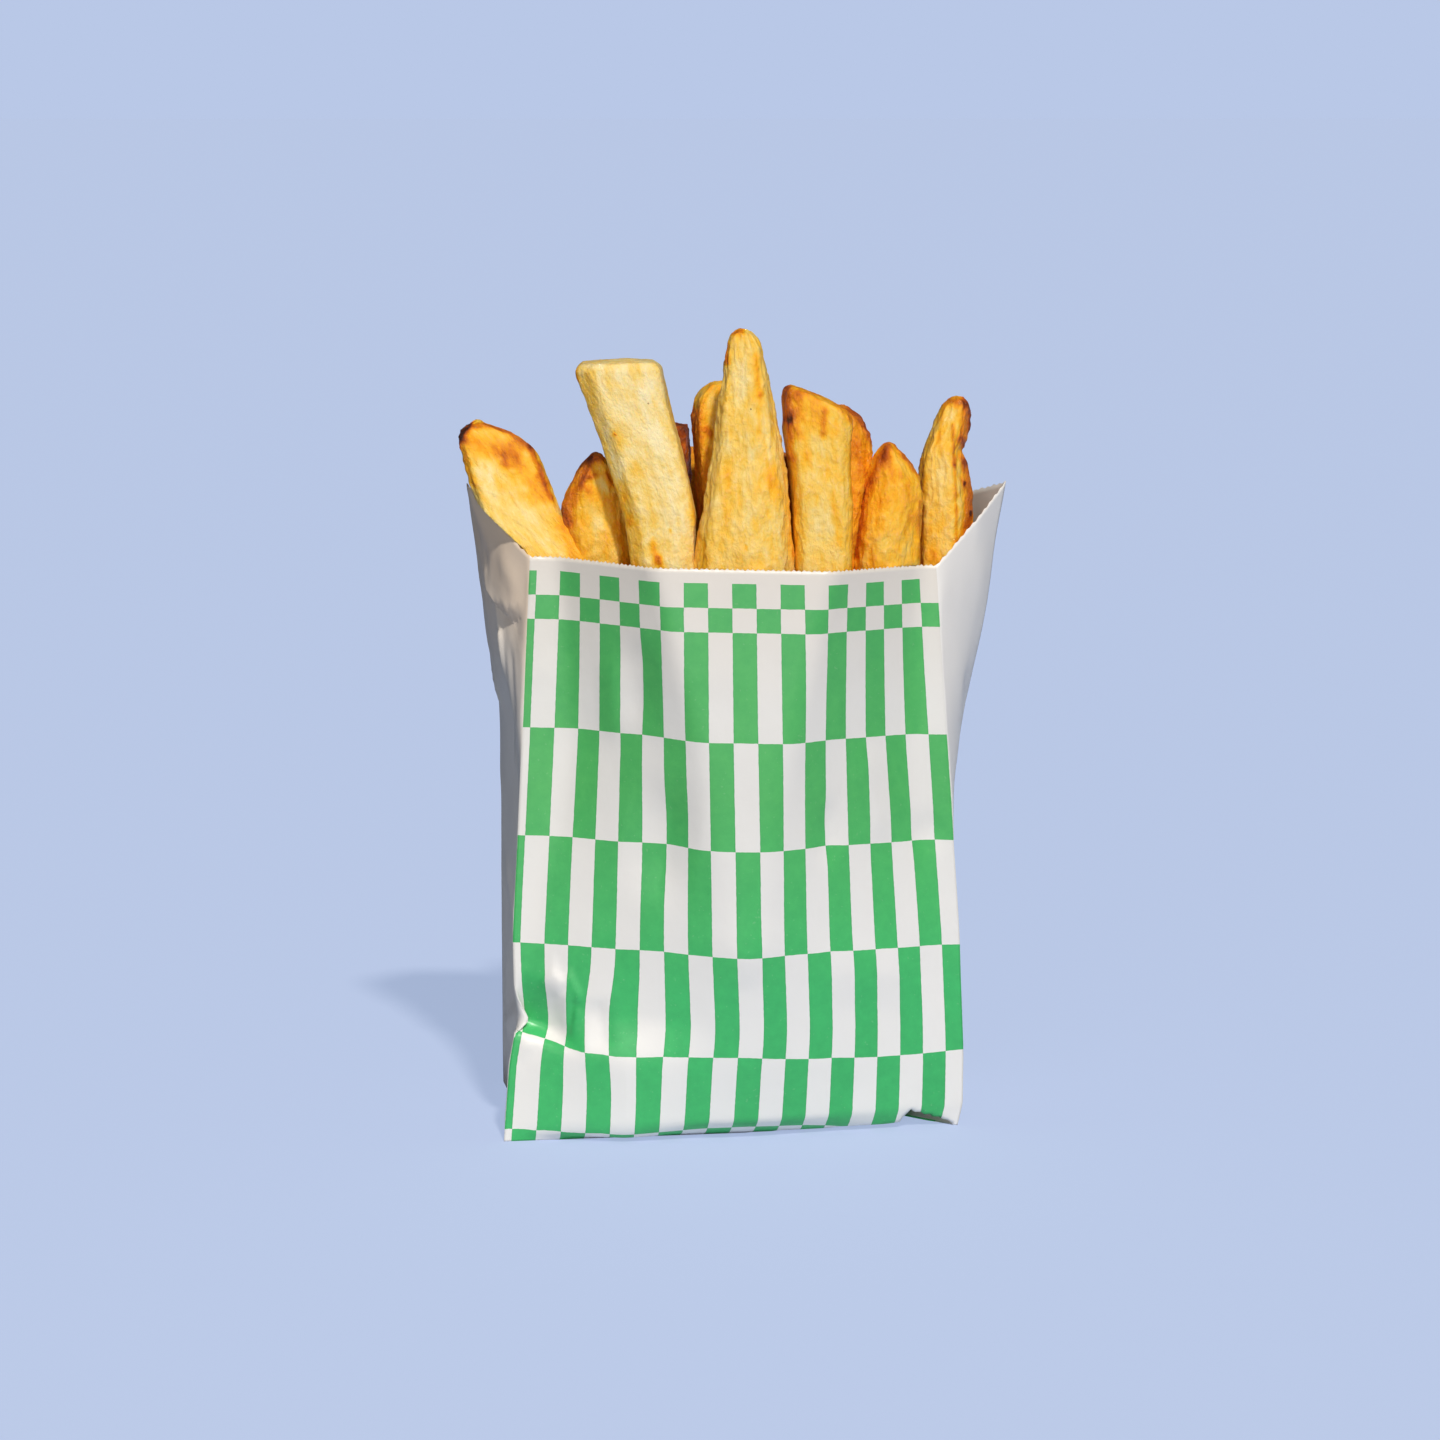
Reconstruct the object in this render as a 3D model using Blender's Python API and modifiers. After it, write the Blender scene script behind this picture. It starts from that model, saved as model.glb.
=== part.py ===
# Chunky french fries standing in a small gusseted paper bag.
# The bag is a loft through level outlines, folded from one sheet: a wide front and back, and two
# sides that fold at a crease. The fries are one solid: a core that fills the bag, with each fry
# that shows above it fused on.
# The front faces -Y. Sizes are in millimetres and are turned to metres where a mesh is made.

import math

import bmesh
import bpy
from mathutils import Vector

METRE = 0.001

# Bag: driving dimensions
PANEL_WIDTH = 100.5       # front and back panels, measured along the paper
WALL = 0.5                # thickness that the paper is given here
LEFT_RIM = 130.3          # height of the front lip at its left end
RIGHT_RIM = 127.8         # height of the front lip at its right end
EAR_RIM = 144.5           # height of the side creases at the rim, which stand up as ears
BACK_RIM = 137.5          # height of the back corners at the rim
BACK_DIP = 6.5            # how far the middle of the back rim lies below its corners
BACK_BOW = 3.0            # how far the back panel bows outwards

# Steps round the outline and the levels of the loft, as parts of the local rim height
FRONT_STEPS = 20
SIDE_STEPS = 3
BACK_STEPS = 10
LEVELS = (0.0, 0.012, 0.035, 0.08, 0.14, 0.20, 0.27, 0.35, 0.44, 0.53, 0.61, 0.68, 0.73,
          0.77, 0.81, 0.86, 0.91, 0.955, 1.0)

# Fries: driving dimensions
CORE_GAP = 1.0            # from the outside of the paper to the core
CORE_TOP = 0.87           # height of the core, as a part of the rim height
CORE_CROWN = 4.0          # how far the middle of the core stands above its edge
FRY_GAP = 1.4             # from the outside of the paper to a fry
RIM_CLEAR = 1.2           # height above the ears from which a fry may lean out
FRY_SIDES = 8
FRY_FOOT = 92.0           # height at which the fries start, inside the core

# The finished part's origin, in the frame that the outline is drawn in
ORIGIN = (1.05, -5.9, 0.0)

# Where each corner of the bag runs, as (part of the rim height, x, y)
CORNERS = {
    "front_left": ((0.0, -51.0, -26.0), (0.14, -49.6, -26.0), (0.20, -48.0, -25.5),
                   (0.35, -48.6, -25.0), (0.70, -46.0, -24.0), (1.0, -44.0, -24.0)),
    "front_right": ((0.0, 50.0, -18.0), (0.14, 51.7, -20.0), (0.35, 50.5, -22.0),
                    (0.70, 47.1, -24.0), (1.0, 44.3, -24.0)),
    "left_crease": ((0.0, -48.0, -1.0), (0.20, -45.0, -1.0), (0.68, -43.0, -3.0),
                    (0.76, -45.5, -5.0), (0.81, -52.0, -7.0), (1.0, -57.5, -8.0)),
    "right_crease": ((0.0, 47.0, 2.0), (0.20, 45.0, 1.0), (0.44, 45.5, 0.0),
                     (0.61, 52.0, -3.0), (0.77, 56.5, -7.0), (1.0, 61.0, -10.0)),
    "back_left": ((0.0, -52.0, 25.0), (0.68, -51.6, 22.5), (0.81, -54.8, 20.0),
                  (1.0, -54.0, 16.5)),
    "back_right": ((0.0, 49.0, 25.0), (0.61, 49.3, 23.0), (0.81, 48.0, 19.0),
                   (1.0, 46.0, 15.5)),
}

# How the front panel swells, as (part of the rim height, forward by, share of the width that each
# of the two slopes takes, where the left slope starts, where the right slope ends)
SWELL = ((0.0, 0.0, 0.46, 0.0, 0.0), (0.012, 3.8, 0.46, 0.0, 0.0), (0.035, 6.8, 0.46, 0.0, 0.0),
         (0.14, 9.5, 0.46, 0.0, 0.0), (0.35, 14.3, 0.46, 0.02, 0.02),
         (0.53, 15.2, 0.38, 0.07, 0.06), (0.70, 15.6, 0.31, 0.11, 0.08),
         (1.0, 16.0, 0.26, 0.06, 0.03))

# Each fry, from the core to its tip: (x, y, z, width, depth) at each station, then how far its
# section is turned, how much of its size is left at the tip, and how far the tip is cut askew.
FRIES = {
    "left_wedge": (((-27, -16, 110, 16, 12), (-37, -13, 127, 17, 12), (-42, -11.5, 134, 17, 12),
                    (-45.7, -10, 142, 17, 11), (-50, -9.5, 149, 15.5, 10), (-57.5, -9, 154.5, 12.5, 9)),
                   6, 0.72, 3.0),
    "left_spear": (((-27, -12, 104, 15, 14), (-28, -12, 127, 16, 14), (-29, -11, 141, 13, 12),
                    (-29.4, -11, 151, 5, 6)), 8, 0.45, 0.0),
    "pale_baton": (((-10.5, -28, 104, 15, 14), (-15, -27.5, 128, 15, 14.5),
                    (-18.5, -27, 146, 16.5, 15), (-24.6, -26, 172, 19, 15)), 12, 0.86, -4.5),
    "behind_pale": (((-13, -10, 104, 12, 11), (-14.5, -10, 130, 12, 11), (-15.5, -9, 157, 9, 8)),
                    -10, 0.6, 0.0),
    "slim_middle": (((-2, -10, 104, 13, 12), (-2.5, -9.5, 140, 12.5, 11),
                     (-3, -8, 166.5, 11, 9)), 6, 0.7, 1.0),
    "tall_spear": (((2.5, -30, 104, 21, 14), (2.5, -30.5, 128, 21, 15), (2.5, -30.5, 139, 18.8, 14),
                    (2.7, -30, 158, 13.3, 11), (1.6, -29.5, 178.8, 6, 6)), 0, 0.6, 0.0),
    "broad_slant": (((19.5, -28, 104, 14, 14), (20, -28.5, 128, 14, 14.5),
                     (19.3, -28.5, 147, 14.6, 14), (18.8, -28, 164, 14.8, 12)), -6, 0.86, -7.0),
    "behind_slant": (((23, -12, 104, 14, 12), (23.5, -12, 134, 14, 12), (24, -11.5, 160, 11, 9)),
                     10, 0.6, -1.5),
    "short_dome": (((34.2, -25, 104, 15, 12), (34.4, -25.5, 128, 15, 13), (35, -25.5, 140, 14, 12),
                    (34.8, -25, 149.5, 9.5, 9), (34.5, -25, 154, 5.5, 6)), -8, 0.6, 0.0),
    "right_spear": (((43.5, -13, 104, 12, 12), (46.2, -13, 128, 13, 13), (47.6, -12.5, 145, 12, 12),
                     (50.0, -11.5, 163, 7.5, 8)), 24, 0.75, 0.5),
    "mid_left": (((-34, -1, 104, 13, 11), (-40, 0, 136.5, 12, 10)), -6, 0.7, 0.0),
    "mid_centre": (((9, -7, 104, 13, 12), (9.5, -6, 150, 11, 10)), 8, 0.65, 1.0),
    "mid_right": (((36, -8, 104, 12, 12), (37, -7, 136, 12, 11)), 12, 0.6, 0.0),
    "back_far_left": (((-39, 8, 104, 13, 11), (-44.5, 9, 141, 11, 10)), 10, 0.6, 2.0),
    "back_left": (((-26, 8, 104, 14, 12), (-33, 8.5, 136, 12, 10)), -8, 0.7, 0.0),
    "back_pale": (((-18, 7, 104, 13, 12), (-20.5, 4, 158, 11, 10)), 12, 0.75, -1.0),
    "back_middle": (((-4, 9, 104, 14, 11), (-8, 10, 150, 11, 9)), 0, 0.6, 1.5),
    "back_slant": (((8, 7, 104, 14, 12), (17, 8, 150, 12, 10)), -12, 0.75, 2.0),
    "back_right": (((25, 7, 104, 14, 12), (30, 9, 141, 11, 9)), 6, 0.6, 0.0),
    "back_far_right": (((38, 5, 104, 12, 12), (43, 6, 144, 10, 9)), 4, 0.7, -2.0),
}

FINISHES = {
    "paper_bag": ((0.75, 0.73, 0.70, 1.0), 0.8),
    "fries": ((0.85, 0.52, 0.14, 1.0), 0.5),
}


def read_track(track, level):
    """The values of a track at a level, on straight runs between its entries."""
    last = track[-1]
    for low, high in zip(track, track[1:]):
        if level <= high[0]:
            share = max(0.0, (level - low[0]) / (high[0] - low[0]))
            return [a + (b - a) * share for a, b in zip(low[1:], high[1:])]
    return list(last[1:])


def smooth(value):
    value = min(1.0, max(0.0, value))
    return value * value * (3.0 - 2.0 * value)


def plateau(place, start, end):
    """1 between start and end, falling smoothly to 0 over a quarter of that length at each side."""
    edge = 0.25 * (end - start)
    return smooth((place - start) / edge + 0.5) * smooth((end - place) / edge + 0.5)


def front_line(start, end, level):
    """The front panel at a level: it slopes forward, runs flat and slopes back."""
    forward, share, left_start, right_end = read_track(SWELL, level)
    angle = math.asin(min(0.9, forward / (PANEL_WIDTH * share)))
    points = [Vector((0.0, 0.0))]
    for step in range(FRONT_STEPS):
        place = (step + 0.5) / FRONT_STEPS
        rise = plateau(place, left_start, left_start + share)
        fall = plateau(place, 1.0 - right_end - share, 1.0 - right_end)
        heading = angle * (rise - fall)
        stride = Vector((math.cos(heading), -math.sin(heading)))
        points.append(points[-1] + stride * PANEL_WIDTH / FRONT_STEPS)
    # the panel is turned and scaled as a whole so that its ends meet the corners
    reach = points[-1]
    wanted = end - start
    turn = math.atan2(wanted.y, wanted.x) - math.atan2(reach.y, reach.x)
    scale = wanted.length / reach.length
    cosine = math.cos(turn) * scale
    sine = math.sin(turn) * scale
    return [start + Vector((p.x * cosine - p.y * sine, p.x * sine + p.y * cosine)) for p in points]


def bowed_line(start, end, steps, bow):
    """A line that bows to its right by the given amount in the middle."""
    along = end - start
    side = Vector((along.y, -along.x)).normalized()
    points = []
    for step in range(steps + 1):
        share = step / steps
        points.append(start + along * share + side * bow * math.sin(math.pi * share))
    return points


def outline(level):
    """The bag's outline at a level: counterclockwise points (x, y, z) seen from above."""
    corner = {name: Vector(read_track(track, level)) for name, track in CORNERS.items()}
    lift = smooth(level)
    runs = (
        (front_line(corner["front_left"], corner["front_right"], level), LEFT_RIM, RIGHT_RIM, 0.0),
        (bowed_line(corner["front_right"], corner["right_crease"], SIDE_STEPS, 0.5 * lift),
         RIGHT_RIM, EAR_RIM, 0.0),
        (bowed_line(corner["right_crease"], corner["back_right"], SIDE_STEPS, 1.0 * lift),
         EAR_RIM, BACK_RIM, 0.0),
        (bowed_line(corner["back_right"], corner["back_left"], BACK_STEPS, BACK_BOW),
         BACK_RIM, BACK_RIM, BACK_DIP),
        (bowed_line(corner["back_left"], corner["left_crease"], SIDE_STEPS, 3.0 * lift),
         BACK_RIM, EAR_RIM, 0.0),
        (bowed_line(corner["left_crease"], corner["front_left"], SIDE_STEPS, 0.5 * lift),
         EAR_RIM, LEFT_RIM, 0.0),
    )
    points = []
    for line, first_rim, last_rim, dip in runs:
        for index, point in enumerate(line[:-1]):
            share = index / (len(line) - 1)
            rim = first_rim + (last_rim - first_rim) * share - dip * smooth(2.5 * min(share, 1 - share))
            points.append(Vector((point.x, point.y, rim * level)))
    return points


def inset(points, gap):
    """The outline moved inwards in plan by the gap."""
    moved = []
    count = len(points)
    for index, point in enumerate(points):
        before = (point - points[index - 1]).to_2d().normalized()
        after = (points[(index + 1) % count] - point).to_2d().normalized()
        inward = Vector((-before.y - after.y, before.x + after.x))
        inward.normalize()
        across = Vector((-before.y, before.x)).dot(inward)
        step = inward * gap / max(0.45, across)
        moved.append(Vector((point.x + step.x, point.y + step.y, point.z)))
    return moved


def skin(shape, rings, caps):
    """Faces through closed rings; caps says "flat", gives a centre point, or is None, for each end."""
    rows = []
    for ring in rings:
        rows.append([shape.verts.new(point * METRE) for point in ring])
    for low, high in zip(rows, rows[1:]):
        count = len(low)
        for index in range(count):
            after = (index + 1) % count
            shape.faces.new((low[index], low[after], high[after], high[index]))
    for row, cap, flip in ((rows[0], caps[0], True), (rows[-1], caps[1], False)):
        if cap is None:
            continue
        if cap == "flat":
            shape.faces.new(row[::-1] if flip else row)
            continue
        middle = shape.verts.new(cap * METRE)
        for index in range(len(row)):
            pair = (row[index], row[(index + 1) % len(row)])
            shape.faces.new((pair[1], pair[0], middle) if flip else (pair[0], pair[1], middle))
    return rows


def shrink(shape, gap):
    """Every point moved inwards, so that each face lies the gap behind where it was."""
    shape.normal_update()
    moves = [vertex.normal * vertex.calc_shell_factor() for vertex in shape.verts]
    for vertex, move in zip(shape.verts, moves):
        length = min(move.length, 2.0)
        vertex.co -= move.normalized() * length * gap * METRE


def add_object(name, shape, collection):
    """The shape as a named object, moved so that the part's origin is at the world's."""
    mesh = bpy.data.meshes.new(name)
    bmesh.ops.translate(shape, verts=shape.verts, vec=Vector(ORIGIN) * -METRE)
    shape.to_mesh(mesh)
    shape.free()
    thing = bpy.data.objects.new(name, mesh)
    collection.objects.link(thing)
    return thing


def add_finish(thing):
    colour, roughness = FINISHES[thing.name]
    material = bpy.data.materials.new(thing.name)
    material.use_nodes = True
    shader = material.node_tree.nodes["Principled BSDF"]
    shader.inputs["Base Color"].default_value = colour
    shader.inputs["Roughness"].default_value = roughness
    shader.inputs["Metallic"].default_value = 0.0
    thing.data.materials.append(material)


def make_bag(collection):
    """The paper: an open loft with a flat bottom, thickened inwards."""
    shape = bmesh.new()
    skin(shape, [outline(level) for level in LEVELS], ("flat", None))
    bag = add_object("paper_bag", shape, collection)
    paper = bag.modifiers.new("paper", "SOLIDIFY")
    paper.thickness = WALL * METRE
    paper.offset = -1.0
    paper.use_even_offset = True
    return bag


WALLS = [inset(outline(level), FRY_GAP) for level in LEVELS]


def wall_at(height):
    """The inside of the bag at a height, carried straight up above the lower parts of the rim."""
    points = []
    for column in zip(*WALLS):
        for low, high in zip(column, column[1:]):
            if height <= high.z:
                break
        share = min(1.0, (height - low.z) / (high.z - low.z))
        points.append(low.lerp(high, share).to_2d())
    return points


def keep_inside(point):
    """A point of a fry, moved to the nearest place inside the paper if it lies outside it."""
    if point.z > EAR_RIM + RIM_CLEAR:
        return point
    wall = wall_at(point.z)
    flat = point.to_2d()
    crossings = 0
    nearest = None
    for index, corner in enumerate(wall):
        other = wall[(index + 1) % len(wall)]
        if (corner.y > flat.y) != (other.y > flat.y):
            share = (flat.y - corner.y) / (other.y - corner.y)
            crossings += flat.x < corner.x + (other.x - corner.x) * share
        along = other - corner
        share = min(1.0, max(0.0, (flat - corner).dot(along) / max(1e-9, along.length_squared)))
        spot = corner + along * share
        if nearest is None or (spot - flat).length < (nearest - flat).length:
            nearest = spot
    if crossings % 2 == 1:
        return point
    return Vector((nearest.x, nearest.y, point.z))


def make_fry(name, collection):
    """One fry: a soft-cornered bar through its stations, with its end rounded and cut askew."""
    stations, turn, tip_share, skew = FRIES[name]
    spots = [Vector(station[:3]) for station in stations]
    sizes = [station[3:] for station in stations]
    slope = (spots[1] - spots[0]) / (spots[1].z - spots[0].z)
    spots.insert(0, spots[0] + slope * (FRY_FOOT - spots[0].z))
    sizes.insert(0, sizes[0])
    # the last stretch gets three rings that round the end off
    end = spots[-1]
    last = end - spots[-2]
    end_size = sizes[-1]
    pull = min(4.0, 0.35 * last.length)
    spots[-1] = end - last.normalized() * pull
    spots.append(end - last.normalized() * 0.22 * pull)
    sizes.append([size * (0.35 + 0.65 * tip_share) for size in end_size])
    spots.append(end)
    sizes.append([size * 0.72 * tip_share for size in end_size])
    rings = []
    for index, spot in enumerate(spots):
        before = spots[max(0, index - 1)]
        after = spots[min(len(spots) - 1, index + 1)]
        axis = (after - before).normalized()
        across = (Vector((1.0, 0.0, 0.0)) - axis * axis.x).normalized()
        deep = axis.cross(across)
        near_end = 0.0 if index < len(spots) - 3 else 1.0
        width, depth = sizes[index]
        ring = []
        for side in range(FRY_SIDES):
            angle = 2.0 * math.pi * (side + 0.5) / FRY_SIDES
            reach = (abs(math.cos(angle)) ** 3.4 + abs(math.sin(angle)) ** 3.4) ** (-1.0 / 3.4)
            turned = math.radians(turn)
            u = 0.5 * width * reach * math.cos(angle)
            v = 0.5 * depth * reach * math.sin(angle)
            place = (spot + across * (u * math.cos(turned) - v * math.sin(turned))
                     + deep * (u * math.sin(turned) + v * math.cos(turned)))
            place += axis * near_end * skew * u / max(1.0, 0.5 * end_size[0]) * 0.5
            ring.append(keep_inside(place))
        rings.append(ring)
    shape = bmesh.new()
    skin(shape, rings, ("flat", "flat"))
    return add_object(name, shape, collection)


def make_fries(collection, pieces):
    """The core with every fry joined to it in one union."""
    levels = [level for level in LEVELS if level < CORE_TOP] + [CORE_TOP]
    shape = bmesh.new()
    top = skin(shape, [outline(level) for level in levels], ("flat", None))[-1]
    shrink(shape, CORE_GAP)
    middle = shape.verts.new(sum((vertex.co for vertex in top), Vector()) / len(top))
    middle.co.z += CORE_CROWN * METRE
    for index, vertex in enumerate(top):
        shape.faces.new((vertex, top[(index + 1) % len(top)], middle))
    core = add_object("fries", shape, collection)
    fries = bpy.data.collections.new("fry_pieces")
    pieces.children.link(fries)
    for name in FRIES:
        make_fry(name, fries)
    union = core.modifiers.new("join", "BOOLEAN")
    union.operation = "UNION"
    union.operand_type = "COLLECTION"
    union.collection = fries
    union.solver = "EXACT"
    bpy.context.view_layer.update()
    graph = bpy.context.evaluated_depsgraph_get()
    joined = bpy.data.meshes.new_from_object(core.evaluated_get(graph))
    core.modifiers.clear()
    core.data = joined
    for thing in list(fries.objects):
        bpy.data.objects.remove(thing, do_unlink=True)
    bpy.data.collections.remove(fries)
    return core


def build():
    for thing in list(bpy.data.objects):
        bpy.data.objects.remove(thing, do_unlink=True)
    scene = bpy.context.scene
    fries_in_bag = bpy.data.collections.new("fries_in_paper_bag")
    pieces = bpy.data.collections.new("pieces_to_join")
    scene.collection.children.link(fries_in_bag)
    scene.collection.children.link(pieces)
    add_finish(make_bag(fries_in_bag))
    add_finish(make_fries(fries_in_bag, pieces))


build()
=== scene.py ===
import math

import bmesh
import bpy
import numpy as np
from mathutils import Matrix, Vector, noise


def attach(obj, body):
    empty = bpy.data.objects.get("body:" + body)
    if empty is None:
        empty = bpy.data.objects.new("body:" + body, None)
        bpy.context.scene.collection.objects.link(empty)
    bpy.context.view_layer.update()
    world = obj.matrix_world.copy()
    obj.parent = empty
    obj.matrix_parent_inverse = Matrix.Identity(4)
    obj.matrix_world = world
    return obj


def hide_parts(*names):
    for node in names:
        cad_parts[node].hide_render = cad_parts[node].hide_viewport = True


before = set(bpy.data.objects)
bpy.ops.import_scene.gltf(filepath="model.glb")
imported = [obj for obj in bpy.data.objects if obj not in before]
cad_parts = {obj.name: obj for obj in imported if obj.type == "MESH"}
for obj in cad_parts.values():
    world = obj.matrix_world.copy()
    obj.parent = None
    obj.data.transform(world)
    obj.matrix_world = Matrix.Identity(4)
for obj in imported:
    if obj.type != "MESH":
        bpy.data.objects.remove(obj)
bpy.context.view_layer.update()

# Chunky fries in a small folded paper bag. Lengths are in millimetres, in the frame that the
# paper is laid out in, until finishPiece moves a piece to the part's own origin and into metres.
metre = 0.001
partOrigin = np.array((1.05, -5.9, 0.0))


def linear(hexColour):  # sRGB hex, as seen on screen, to the linear values that shaders take
    values = [int(hexColour[at:at + 2], 16) / 255 for at in (1, 3, 5)]
    return tuple(v / 12.92 if v <= 0.04045 else ((v + 0.055) / 1.055) ** 2.4 for v in values) + (1.0,)


def addNode(tree, kind, sockets=(), **settings):
    # sockets pairs an input, by name or number, with a value or with another node's output
    node = tree.nodes.new(kind)
    for name, value in settings.items():
        setattr(node, name, value)
    for name, value in dict(sockets).items():
        if isinstance(value, bpy.types.NodeSocket):
            tree.links.new(value, node.inputs[name])
        else:
            node.inputs[name].default_value = value
    return node


def newMaterial(name):
    material = bpy.data.materials.new(name)
    material.use_nodes = True
    tree = material.node_tree
    return material, tree, tree.nodes["Principled BSDF"]


def objectMode():
    if bpy.context.object and bpy.context.object.mode != "OBJECT":
        bpy.ops.object.mode_set(mode="OBJECT")


def pickOnly(*things):
    objectMode()
    bpy.ops.object.select_all(action="DESELECT")
    for thing in things:
        thing.select_set(True)
    bpy.context.view_layer.objects.active = things[0] if things else None


def smoothStep(value):
    value = np.clip(value, 0.0, 1.0)
    return value * value * (3.0 - 2.0 * value)


def readPoints(thing):
    flat = np.zeros(len(thing.data.vertices) * 3)
    thing.data.vertices.foreach_get("co", flat)
    return flat.reshape(-1, 3)


def writePoints(thing, points):
    thing.data.vertices.foreach_set("co", np.asarray(points, float).ravel())
    thing.data.update()


def readNormals(thing):
    flat = np.zeros(len(thing.data.vertices) * 3)
    thing.data.vertices.foreach_get("normal", flat)
    return flat.reshape(-1, 3)


def writeAttribute(thing, name, values):
    attribute = thing.data.attributes.get(name) or thing.data.attributes.new(name, "FLOAT", "POINT")
    attribute.data.foreach_set("value", np.asarray(values, np.float32))


def lineFrom(zeroAt, oneAt):  # slope and offset of the straight line through those two values
    return 1 / (oneAt - zeroAt), -zeroAt / (oneAt - zeroAt)


def noiseAt(points, size, seed=0.0):  # smooth noise, about -1 to 1; size is one blob, or one per axis
    scaled = np.asarray(points, float) / np.asarray(size, float) + seed
    return np.array([noise.noise(p) for p in scaled.tolist()])


def finishPiece(thing, body, slotName, *nodes):
    writePoints(thing, (readPoints(thing) - partOrigin) * metre)
    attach(thing, body)
    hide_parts(*nodes)


# Paper bag

bag = {
    "panelWidth": 100.5, "leftRim": 130.3, "rightRim": 127.8, "earRim": 144.5, "backRim": 137.5,
    "backDip": 6.5, "backBow": 3.0,
    "frontColumns": 180, "gussetColumns": 24, "backColumns": 112,   # about 0.56, 1 and 0.9 mm
    "gussetFront": 22.0, "gussetBack": 27.0,                         # paper widths beside the fold
    "thickness": 0.2,
    "tooth": 0.42,            # the cut edge's serration, peak to valley
    "footGap": ((40, -0.9), (60, 0.5), (80, 1.1), (87, 1.3), (88.6, 4.4), (98.5, 1.1), (100, 0.5)),
    # paper taken up by folds, as (across, mm), near the foot and at the knocked-in corner
    "footTakes": ((0, 3.3), (7, 3.1), (12, 4.6), (17, 5.0), (28, 4.9), (38, 5.3), (55, 5.5), (66, 5.3),
                  (77, 3.6), (86, 0.3), (100, 0)),
    "dentTakes": ((0, 2.2), (1.6, 1.6), (7, 0.5), (12, 0.5), (17, 0.1), (23, -0.3), (28, -0.4), (40, 0),
                  (50, -0.1), (69, -1.35), (80, -1.6), (92, -1.2), (100, -0.7)),
    "footPush": ((90, 13.0), (98, 8.0)),   # how far the front's foot is drawn under, as (across, mm)
    "slide": (2.4, (20, 28), (9, 10)),     # the knocked-in corner's push to the left: mm, middle, reach
    "crumple": (0.34, 0.2, 0.10),          # depth of the fine crumple: sides, back, front
    "crumpleSize": (17.0, 23.0, 1.0), "fineCrumpleSize": (6.0, 8.0, 1.0),
    "bottomRings": (0.22, 0.42, 0.6, 0.78, 0.95), "bottomStep": 0.22, "slotHalf": 26.0,
    "sheet": 400.0,           # one unit of the paper's UV map
}

# Each corner of the bag, as (share of the rim height, x, y)
bagCorners = {
    "frontLeft": ((0.0, -51.0, -26.0), (0.14, -49.6, -26.0), (0.20, -48.0, -25.5),
                  (0.35, -48.6, -25.0), (0.70, -46.0, -24.0), (1.0, -44.0, -24.0)),
    "frontRight": ((0.0, 51.0, -18.0), (0.04, 52.0, -18.8), (0.14, 51.9, -20.0), (0.35, 50.5, -22.0),
                   (0.70, 47.1, -24.0), (1.0, 44.3, -24.0)),
    "leftFold": ((0.0, -48.0, -1.0), (0.20, -45.0, -1.0), (0.54, -45.3, -3.0), (0.63, -46.8, -7.0),
                 (0.70, -49.8, -12.5), (0.765, -51.4, -14.5), (0.81, -52.0, -13.5), (0.86, -53.4, -10.0),
                 (1.0, -57.5, -8.0)),
    "rightFold": ((0.0, 47.0, 2.0), (0.20, 45.0, 1.0), (0.44, 45.5, 0.0),
                  (0.61, 52.0, -3.0), (0.77, 56.5, -7.0), (1.0, 61.0, -10.0)),
    "backLeft": ((0.0, -51.6, 25.0), (0.68, -51.2, 22.5), (0.81, -54.0, 20.0), (1.0, -54.2, 16.5)),
    "backRight": ((0.0, 49.0, 25.0), (0.61, 49.3, 23.0), (0.81, 48.0, 19.0), (1.0, 46.0, 15.5)),
}

# How the front swells: (share of the rim height, forward by, width share of each slope, start of
# the left slope, end of the right slope)
frontSwell = ((0.0, 0.0, 0.46, 0.0, 0.0), (0.012, 3.8, 0.46, 0.0, 0.0), (0.035, 6.8, 0.46, 0.0, 0.0),
              (0.14, 9.5, 0.46, 0.0, 0.0), (0.35, 14.3, 0.46, 0.02, 0.02),
              (0.53, 15.2, 0.38, 0.07, 0.06), (0.70, 15.6, 0.31, 0.11, 0.08),
              (1.0, 16.0, 0.26, 0.06, 0.03))

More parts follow.
